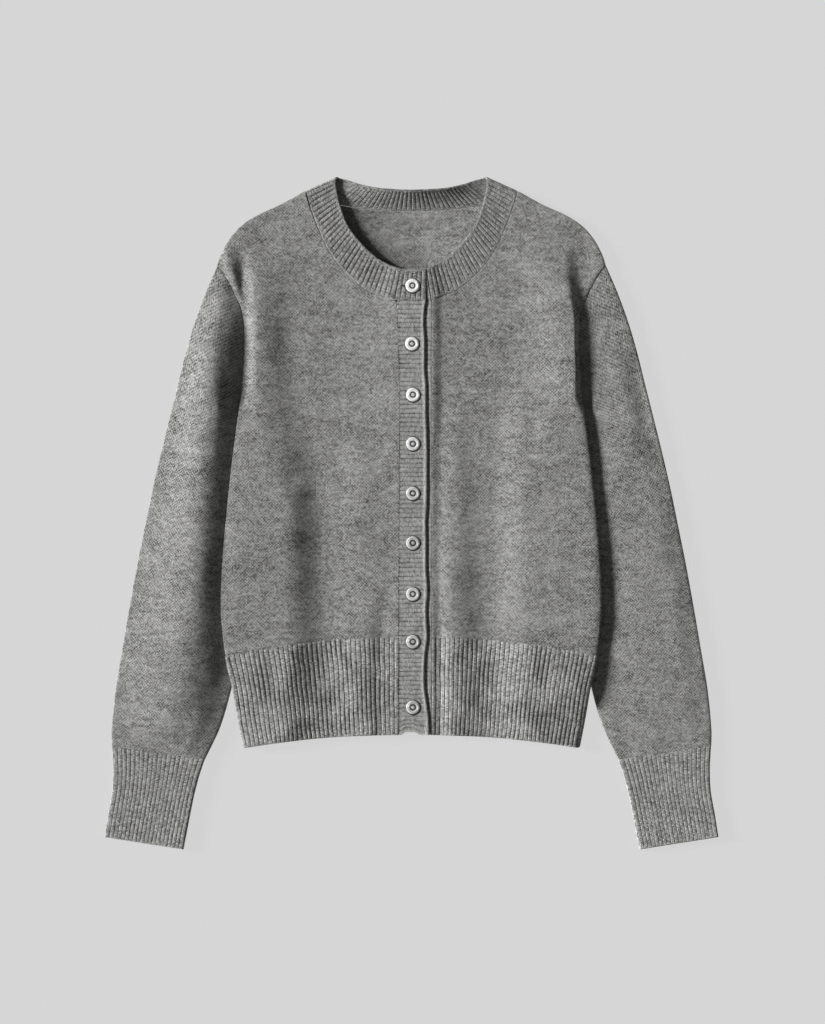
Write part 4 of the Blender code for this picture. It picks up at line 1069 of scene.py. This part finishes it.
def neckband():
    wall, half = cloth["ribWall"], cloth["ribWall"] / 2
    radius = neck["foldRadius"]
    across = np.concatenate([
        [0, 0.008, 0.03, 0.07], np.linspace(0.14, 0.86, 8), [0.93, 0.97, 0.992, 1]])
    frontZ = 2 * radius + half
    foldSeam, foldEdge = np.array(body["neckSeam"][-1]), np.array(neck["edge"][-1])
    foldWay = unit(foldEdge - foldSeam)
    out = np.array([foldWay[1], -foldWay[0]])

    def heldBack(rows):
        before, end = np.array(rows[-2][:2]), np.array(rows[-1][:2])
        back = unit(before - end)
        place = end - back * (half + radius) / back.dot(out)
        return [*rows[:-1], (*place, *rows[-1][2:])]

    frontSeam, frontEdge = heldBack(body["neckSeam"]), heldBack(neck["edge"])
    backSeam = curve(heldBack(body["backNeckSeam"]))
    backEdge = curve(heldBack(neck["backEdge"]))

    def stations(side, low, high, lowZ, highZ, power=1.0):
        u = across[None, :]
        plan = low[:, None] + (high - low)[:, None] * u[..., None]
        z = lowZ[:, None] + (highZ - lowZ)[:, None] * u**power
        return np.concatenate([side * plan[..., :1], plan[..., 1:], z[..., None]], -1)

    def front(side, end):
        seam = curve([(end, 216.8), *frontSeam])
        edge = curve([(end, 248.8), *frontEdge])
        phases = ribColumns(neck["ribsFront"])
        share = phases / phases[-1]
        low, high = beside(seam, share, -cloth["joint"] / 2), beside(edge, share)
        z = frontUnder(side * low[:, 0], low[:, 1]) + half
        bandZ = closure["highZ"] if side == right else buttonBandUnder(low[:, 0], 225 + 0 * share)
        bandZ = bandZ + half
        z = z + (bandZ - z) * smooth((40 - low[:, 0]) / 25)
        z = z + (frontZ - z) * smooth((share - 0.75) / 0.25)
        rise = neck["edgeRise"] * smooth((share - 0.15) / 0.3) * smooth((1 - share) / 0.3)
        return stations(side, low, high, z, z + rise), phases

    def fold(side):
        tops = np.array(frontSeam[-1][:2]), np.array(frontEdge[-1][:2])
        bottoms = beside(backSeam, 1.0, -cloth["seamGap"] / 2), beside(backEdge, 1.0)
        t = np.arange(1, 12) / 12
        angle = np.pi * t
        bulge = out * radius * np.sin(angle)[:, None]
        low = tops[0] + (bottoms[0] - tops[0]) * t[:, None] + bulge
        high = tops[1] + (bottoms[1] - tops[1]) * t[:, None] + bulge
        z = half + radius * (1 + np.cos(angle))
        return stations(side, low, high, z, z), neck["ribsFront"] + t

    def back(side):
        phases = ribColumns(neck["ribsBack"])
        share = 1 - phases / phases[-1]
        low, high = beside(backSeam, share, -cloth["seamGap"] / 2), beside(backEdge, share)
        z = np.full(len(share), half)
        return stations(side, low, high, z, backEdge(share)[:, 2], 1.7), \
            neck["ribsFront"] + 1 + phases

    halves = []
    for side, end in ((right, -closure["lap"][1][2]), (left, closure["buttonBand"][0])):
        parts = [front(side, end), fold(side), back(side)]
        if side == left:
            parts[2] = (parts[2][0][:-1], parts[2][1][:-1])
        halves.append([np.concatenate([part[k] for part in parts]) for k in (0, 1)])
    points = np.concatenate([halves[0][0], halves[1][0][::-1]])
    total = halves[0][1][-1]
    phases = np.concatenate([halves[0][1], 2 * total - halves[1][1][::-1]])
    fromEnd = np.minimum(phases, 2 * total - phases)
    points = points.transpose(1, 0, 2)
    alongStep = np.gradient(points, axis=1)
    upStep = np.gradient(points, axis=0)
    upStep[0, :, 2] = 0
    normal = unit(np.cross(upStep, alongStep))
    ribs = ribHeight(phases)[None, :]
    fromSeam = (across * neck["width"])[:, None]
    fromEdge = ((1 - across) * neck["width"])[:, None]
    ends = np.minimum(fromEnd, 4) * 4.0
    taper = smooth((fromSeam - 2.0) / 1.6) * smooth((fromEdge - 2.0) / 2.0)
    bead = neck["bead"] * ridge(fromEdge - 1.7, 2.0) \
        + neck["seamRidge"] * ridge(fromSeam - 1.7, 1.2)
    inFront = (fromEnd < neck["ribsFront"] + 0.5)[None, :]
    inBack = (fromEnd > neck["ribsFront"] + 6)[None, :]
    edge = np.minimum(np.minimum(fromSeam, fromEdge), ends[None, :])
    round = np.maximum(rimDrop(np.minimum(fromEdge, ends[None, :]), 1.2),
                       rimDrop(edge, cloth["seamRim"]))
    depth = neck["ribRise"] * (0.85 + 0.45 * unevenness(np.round(phases) * 7.3, 0 * phases, 9, 13))
    outerLift = half + (0.2 - depth * (1 - ribs)) * taper * inFront + bead - round
    innerLift = half + (0.2 - 0.9 * depth * (1 - ribs)) * taper * inBack + bead * inBack - round
    outer = points + normal * outerLift[..., None]
    inner = points - normal * innerLift[..., None]
    uv = np.stack([np.broadcast_to(phases[None, :], points.shape[:2]),
                   np.broadcast_to(fromSeam / cloth["course"], points.shape[:2])], -1)
    onLap = (fromEnd * 3.6 < 30)[None, :]
    return clothPiece("neckRib", outer, inner, uv, "neckband", neckKnit, "rib",
                      edges=(fromEdge, np.where(onLap, cloth["far"], fromSeam)))


def bandBottom(x, extra=0.0):
    # the bands end in a shallow dip
    start, rise, end, fall, depth = closure["notch"]
    dip = smooth((x - start) / rise) * smooth((end - x) / fall)
    return body["hemBottom"][0] + (depth + extra) * dip


def frontBand(name, leftX, rightX, underside, node, freeSide, bead=0.0, extra=0.0):
    phases = ribColumns(closure["ribs"])
    down = phases / closure["ribs"]
    across = np.concatenate([[0, 0.01, 0.03, 0.06], np.linspace(0.1, 0.82, 9),
                             [0.86, 0.89, 0.92, 0.945, 0.965, 0.98, 0.992, 1]])
    straight = closure["topY"] + (body["hemBottom"][0] - closure["topY"]) * down
    start, end = leftX(straight), rightX(straight)
    x = start[None, :] + (end - start)[None, :] * across[:, None]
    bottom = bandBottom(x, extra)
    y = straight[None, :] + (bottom - straight[-1]) * smooth((down[None, :] - 0.94) / 0.06)
    width = (end - start)[None, :]
    fromLeft, fromRight = across[:, None] * width, (1 - across[:, None]) * width
    fromBottom = y - bottom
    edge = np.minimum(np.minimum(fromLeft, fromRight), np.minimum(closure["topY"] - y, fromBottom))
    wobble = 0.05 * unevenness(x, y, 14, 21)
    inGap = (1 - ribHeight(phases[None, :] + wobble)) * (0.7 + 0.6 * unevenness(x, y, 8, 22))
    inGap = inGap * smooth((fromRight - 2.6) / 1.5) * smooth((fromBottom - 1.5) / 2)
    place, halfWidth, height = closure["edgeBead"]
    round = np.maximum(rimDrop(np.minimum(fromRight, fromBottom), 1.2),
                       rimDrop(edge, cloth["seamRim"]))
    low = underside(x, y) + round * 0.8
    high = underside(x, y) + cloth["ribWall"] - closure["ribRise"] * inGap - round
    high = high + bead * height * ridge(fromRight - place, 2 * halfWidth)
    high = high + 0.15 * unevenness(x, y, 17, 23)
    outer, inner = layered(x, y, low, high)
    uv = np.stack([np.broadcast_to(phases[None, :], x.shape), x / cloth["course"]], -1)
    fromFree = fromRight if freeSide == "right" else fromLeft
    fromSeam = fromLeft if freeSide == "right" else cloth["far"] + 0 * fromLeft
    edges = (np.minimum(fromFree, fromBottom), fromSeam)
    return clothPiece(name, outer, inner, uv, node, bandKnit, "rib", edges=edges)


print("cloth")
pieces = {
    "back": backPanel(),
    "hemBack": backHem(),
    "frontRight": frontPanel("rightFrontKnit", right, "front_right"),
    "frontLeft": frontPanel("leftFrontKnit", left, "front_left"),
    "hemRight": frontHem("rightHemRib", right, "hem_front_right"),
    "hemLeft": frontHem("leftHemRib", left, "hem_front_left"),
    "sleeveRight": sleeve("rightSleeveKnit", right, "sleeve_right"),
    "sleeveLeft": sleeve("leftSleeveKnit", left, "sleeve_left"),
    "cuffRight": cuff("rightCuffRib", right, "cuff_right"),
    "cuffLeft": cuff("leftCuffRib", left, "cuff_left"),
    "neck": neckband(),
    "buttonBand": frontBand(
        "buttonBandRib", lambda y: closure["buttonBand"][0] + 0 * y,
        lambda y: closure["buttonBand"][1] + 0 * y, buttonBandUnder, "button_band",
        "left", extra=1.5),
    "buttonholeBand": frontBand(
        "buttonholeBandRib", lambda y: lapLine(y)[:, 1], lambda y: lapLine(y)[:, 2],
        lambda x, y: closure["highZ"] + 0 * x, "buttonhole_band", "right",
        bead=1.0),
}

# Sizes of a button from its underside. A step is how far in and how far up the face goes.
buttons = {
    "radius": 6.95, "foot": 0.35, "wall": 0.85, "sides": 48,
    "face": [
        (0.12, 0.34), (0.36, 0.32), (0.75, 0.14), (0.75, 0.0), (0.16, -0.13), (0.16, 0.13),
        (0.9, -0.03), (0.4, -0.1), (0.2, -0.42), (0.15, -0.30), (0.85, 0.0), (0.16, 0.26),
        (0.2, 0.08),
    ],
    "back": [(0.6, -0.28), (2.5, -0.07)],
    "holes": (1.12, 0.52),  # place from the middle, radius
    "thread": (0.30, 2.3, 1.52),  # radius, length, height
    "groove": (1.82, 3.3),  # radii between which the sunk face is painted dark, as shade
    "shadowDisc": (7.9, 0.62, -0.38, 1.1),  # a painted shadow under the button, set aside from it: radius, x and y aside, depth
    # turn of the holes, lean across and along, and the painted light level of its shell
    "each": [
        (62, 1.0, -1.5, "brightLit"), (8, 0.5, 1.0, "brightLit"), (35, -1.5, 0.5, "brightLit"),
        (78, 1.5, -1.0, "halfLit"), (20, -1.0, -1.0, "dimLit"), (50, 1.0, 1.5, "dimLit"),
        (5, -0.5, -1.5, "dimLit"), (40, 1.5, 0.5, "dimLit"), (70, -1.0, 1.0, "dimLit"),
    ],
    "slit": (-8.3, 231.5, 8.30, 2.9, 0.95),  # middle, height, half length, half width
}


# Noise scale and detail, the ends of its shades, roughness, coat, bump and how deep it is.
smallLooks = {
    "shell": (260, 3, (0.35, 0.62), 0.34, 0.25, 0.25, 0.0001),  # cloudy and a little glossy
    "yarn": (1400, 2, (0.3, 0.7), 0.9, 0.0, 0.5, 0.0002),  # with a fine twist
}


# glow is a painted glow: the surface gives off light of its own
def smallMaterial(name, kind, light, dark, paintedGlow=0.0):
    scale, detail, ends, roughness, coat, strength, depth = smallLooks[kind]
    material, nodes, links, shader = newMaterial(name, {
        "Roughness": roughness, "Coat Weight": coat, "Coat Roughness": 0.2,
        "Emission Color": (1, 1, 1, 1), "Emission Strength": paintedGlow,
    })
    place = nodes.new("ShaderNodeTexCoord")
    clouds = filled(nodes.new("ShaderNodeTexNoise"), {"Scale": scale, "Detail": detail})
    links.new(place.outputs["Object"], clouds.inputs["Vector"])
    shades = nodes.new("ShaderNodeValToRGB")
    for element, end, colour in zip(shades.color_ramp.elements, ends, (dark, light)):
        element.position, element.color = end, (*colour, 1)
    links.new(clouds.outputs["Fac"], shades.inputs["Fac"])
    links.new(shades.outputs["Color"], shader.inputs["Base Color"])
    bump = filled(nodes.new("ShaderNodeBump"), {"Strength": strength, "Distance": depth})
    links.new(clouds.outputs["Fac"], bump.inputs["Height"])
    links.new(bump.outputs[0], shader.inputs["Normal"])
    return material


# the shells are painted in three levels of light, brightest on the top buttons, with a painted glow
# that is strongest on the brightest
shellKnown = {
    name: smallMaterial(name + "Shell", "shell", light, dark, paintedGlow)
    for name, light, dark, paintedGlow in (
        ("brightLit", (0.88, 0.88, 0.87), (0.74, 0.74, 0.73), 0.11),
        ("halfLit", (0.76, 0.76, 0.75), (0.60, 0.60, 0.60), 0.06),
        ("dimLit", (0.64, 0.64, 0.63), (0.48, 0.48, 0.48), 0.02),
    )
}
# a near-black painted shade for the sunk ring of each button's face
paintedGrooveShade = smallMaterial("paintedGrooveShade", "shell", (0.07, 0.07, 0.07), (0.03, 0.03, 0.03))
sewingThread = smallMaterial("sewingThread", "yarn", (0.62, 0.62, 0.60), (0.36, 0.36, 0.35))
# a near-black painted shade, for the shadows under the buttons, the walls of their holes and the
# middle of the buttonhole
paintedShade = smallMaterial("paintedShade", "yarn", (0.030, 0.030, 0.030), (0.012, 0.012, 0.012))
lipYarn = smallMaterial("buttonholeYarn", "yarn", (0.22, 0.22, 0.21), (0.10, 0.10, 0.10))


def selectFaces(piece, wanted):
    # in edit mode: only the faces that pass are selected
    bpy.ops.mesh.select_mode(type="FACE")
    bpy.ops.mesh.select_all(action="DESELECT")
    bpy.ops.object.mode_set(mode="OBJECT")
    for face in piece.data.polygons:
        face.select = bool(wanted(face))
    bpy.ops.object.mode_set(mode="EDIT")


def turned(degrees, axis):
    return Matrix.Rotation(math.radians(degrees), 4, axis)


def startCylinder(sides, radius, depth, middle, rotation=(0, 0, 0)):
    bpy.ops.object.select_all(action="DESELECT")
    bpy.ops.mesh.primitive_cylinder_add(
        vertices=sides, radius=radius * mm, depth=depth * mm, end_fill_type="NGON",
        location=[part * mm for part in middle], rotation=rotation)
    bpy.ops.object.transform_apply(location=True, rotation=True, scale=True)
    return bpy.context.object


def stepIn(piece, wanted, steps):
    # the wanted face goes in and up, step after step
    bpy.ops.object.mode_set(mode="EDIT")
    selectFaces(piece, wanted)
    for inset, rise in steps:
        bpy.ops.mesh.inset(thickness=inset * mm, depth=0.0)
        bpy.ops.transform.translate(value=(0, 0, rise * mm))
    bpy.ops.object.mode_set(mode="OBJECT")


def joined(parts):
    bpy.ops.object.select_all(action="DESELECT")
    for part in parts:
        part.select_set(True)
    bpy.context.view_layer.objects.active = parts[0]
    bpy.ops.object.join()
    return bpy.context.object


def buttonMaster():
    blank = startCylinder(buttons["sides"], buttons["radius"], buttons["wall"],
                          (0, 0, buttons["foot"] + buttons["wall"] / 2))
    stepIn(blank, lambda face: face.normal.z > 0.9, buttons["face"])
    stepIn(blank, lambda face: face.normal.z < -0.9 and len(face.vertices) > 4, buttons["back"])
    place, radius = buttons["holes"]
    drill = joined([
        startCylinder(12, radius, 8.0, (place * math.cos(angle), place * math.sin(angle), 1.0))
        for angle in np.radians([45, 135, 225, 315])
    ])
    bpy.ops.object.select_all(action="DESELECT")
    blank.select_set(True)
    bpy.context.view_layer.objects.active = blank
    cut = blank.modifiers.new("holes", "BOOLEAN")
    cut.operation, cut.object, cut.solver = "DIFFERENCE", drill, "EXACT"
    bpy.ops.object.modifier_apply(modifier=cut.name)
    bpy.data.objects.remove(drill)
    bpy.ops.object.shade_smooth_by_angle(angle=math.radians(38))
    # painted shade: the sunk ring of the face gets the dark groove material, the walls of the holes
    # the near-black shade
    inside, outside = (part * mm for part in buttons["groove"])
    for face in blank.data.polygons:
        centre = face.center
        if centre.z > 0.5 * mm and inside < math.hypot(centre.x, centre.y) < outside:
            face.material_index = 1
        elif math.hypot(centre.x, centre.y) < inside and abs(face.normal.z) < 0.5:
            face.material_index = 2
    return blank


def threadMaster():
    # two stitches that cross over the middle and go down into the holes
    radius, length, height = buttons["thread"]
    bars = []
    for angle, lift in ((45, 0.0), (135, 0.3)):
        bar = startCylinder(8, radius, length, (0, 0, 0), (0, math.radians(90), 0))
        bpy.ops.object.mode_set(mode="EDIT")
        for way in (-1, 1):
            selectFaces(bar, lambda face: face.normal.x * way > 0.9)
            bpy.ops.mesh.extrude_region_move(
                TRANSFORM_OT_translate={"value": (0.05 * way * mm, 0, -0.55 * mm)})
            bpy.ops.transform.resize(value=(1, 0.8, 0.8))
        bpy.ops.mesh.select_all(action="DESELECT")
        bpy.ops.object.mode_set(mode="OBJECT")
        bar.data.transform(Matrix.Translation((0, 0, (height + lift) * mm)) @ turned(angle, "Z"))
        bars.append(bar)
    thread = joined(bars)
    bpy.ops.object.shade_smooth_by_angle(angle=math.radians(50))
    return thread


def shadowDiscMaster():
    # a painted shadow: a dark disc under the button, set aside from the light, seen as a dark line
    # round it
    radius, asideX, asideY, depth = buttons["shadowDisc"]
    shadowDisc = startCylinder(40, radius, depth, (asideX, asideY, -depth / 2 + 0.1))
    stepIn(shadowDisc, lambda face: face.normal.z > 0.9, [(0.25, 0.08), (0.9, 0.03)])
    bpy.ops.object.shade_smooth_by_angle(angle=math.radians(50))
    return shadowDisc


def slitMaster():
    # the end of a buttonhole beside its button: a rolled lip, and a sunk middle painted dark as
    # shade
    x, y, z, halfLength, halfWidth = buttons["slit"]
    slit = startCylinder(32, halfLength, 0.4, (0, 0, 0))
    slit.data.transform(Matrix.Diagonal((1, halfWidth / halfLength, 1, 1)))
    stepIn(slit, lambda face: face.normal.z > 0.9, [(0.10, 0.08), (0.08, -0.05), (0.06, -0.2)])
    slit.data.transform(Matrix.Translation((x * mm, y * mm, z * mm)))
    slit.data.materials.append(lipYarn)
    slit.data.materials.append(paintedShade)
    for face in slit.data.polygons:
        face.material_index = int(face.normal.z > 0.9 and len(face.vertices) > 4)
    bpy.ops.object.shade_smooth_by_angle(angle=math.radians(50))
    slit.name = "buttonhole1"
    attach(slit, "root")
    return slit


print("buttons")
masters = [
    ("button", buttonMaster(), None), ("buttonThread", threadMaster(), sewingThread),
    ("buttonShadowDisc", shadowDiscMaster(), paintedShade),
]
slitMaster()
for number, (turn, leanX, leanY, paintedLight) in enumerate(buttons["each"], 1):
    node = f"button_{number}"
    low, high = (np.array(corner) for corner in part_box(node))
    place = Matrix.Translation(((low[0] + high[0]) / 2, (low[1] + high[1]) / 2, low[2]))
    held = turned(leanX, "X") @ turned(leanY, "Y") @ turned(turn, "Z")
    for name, master, material in masters:
        mesh = master.data.copy()
        mesh.transform(place if name == "buttonShadowDisc" else place @ held)
        mesh.materials.append(material or shellKnown[paintedLight])
        if name == "button":
            mesh.materials.append(paintedGrooveShade)
            mesh.materials.append(paintedShade)
        piece = bpy.data.objects.new(f"{name}{number}", mesh)
        bpy.context.scene.collection.objects.link(piece)
        piece.visible_shadow = False
        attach(piece, "root")
        if name == "button":
            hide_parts(node)
for name, master, material in masters:
    bpy.data.objects.remove(master)


stage = {
    "floorSize": 24.0, "floorHeight": -0.0003, "floorShade": 0.05, "floorGlow": 0.635,
    "sunStrength": 7.6, "sunSize": 12, "sunHeight": 15, "sunPlace": 168, "roomLight": 0.11,
    "cameraHeight": 2.6, "cameraShift": (0.001, 0.001, 0.005), "frameHeight": 1.0445,
    "sensor": 36,
}

bpy.ops.object.select_all(action="DESELECT")
bpy.ops.mesh.primitive_plane_add(size=stage["floorSize"], location=(0, 0, stage["floorHeight"]))
floor = bpy.context.object
floor.name = "floor"
floor.data.materials.append(newMaterial("paper", {
    "Base Color": (*[stage["floorShade"]] * 3, 1), "Roughness": 1.0,
    "Specular IOR Level": 0.0, "Emission Color": (1, 1, 1, 1),
    "Emission Strength": stage["floorGlow"],
})[0])

sun = bpy.data.lights.new("softSun", "SUN")
sun.energy = stage["sunStrength"]
sun.angle = math.radians(stage["sunSize"])
sunObject = bpy.data.objects.new("softSun", sun)
bpy.context.scene.collection.objects.link(sunObject)
elevation, azimuth = math.radians(stage["sunHeight"]), math.radians(stage["sunPlace"])
toSun = Vector((math.cos(elevation) * math.cos(azimuth),
                math.cos(elevation) * math.sin(azimuth), math.sin(elevation)))
sunObject.rotation_euler = toSun.to_track_quat("Z", "Y").to_euler()

bpy.context.scene.view_settings.view_transform = "Standard"
world = bpy.context.scene.world or bpy.data.worlds.new("room")
bpy.context.scene.world = world
world.use_nodes = True
filled(world.node_tree.nodes["Background"],
       {"Color": (1, 1, 1, 1), "Strength": stage["roomLight"]})

cameraData = bpy.data.cameras.new("camera")
cameraData.lens = stage["sensor"] * stage["cameraHeight"] / stage["frameHeight"]
cameraData.sensor_width = stage["sensor"]
camera = bpy.data.objects.new("camera", cameraData)
camera.location = Vector((0, 0, stage["cameraHeight"])) + Vector(stage["cameraShift"])
bpy.context.scene.collection.objects.link(camera)
bpy.context.scene.camera = camera
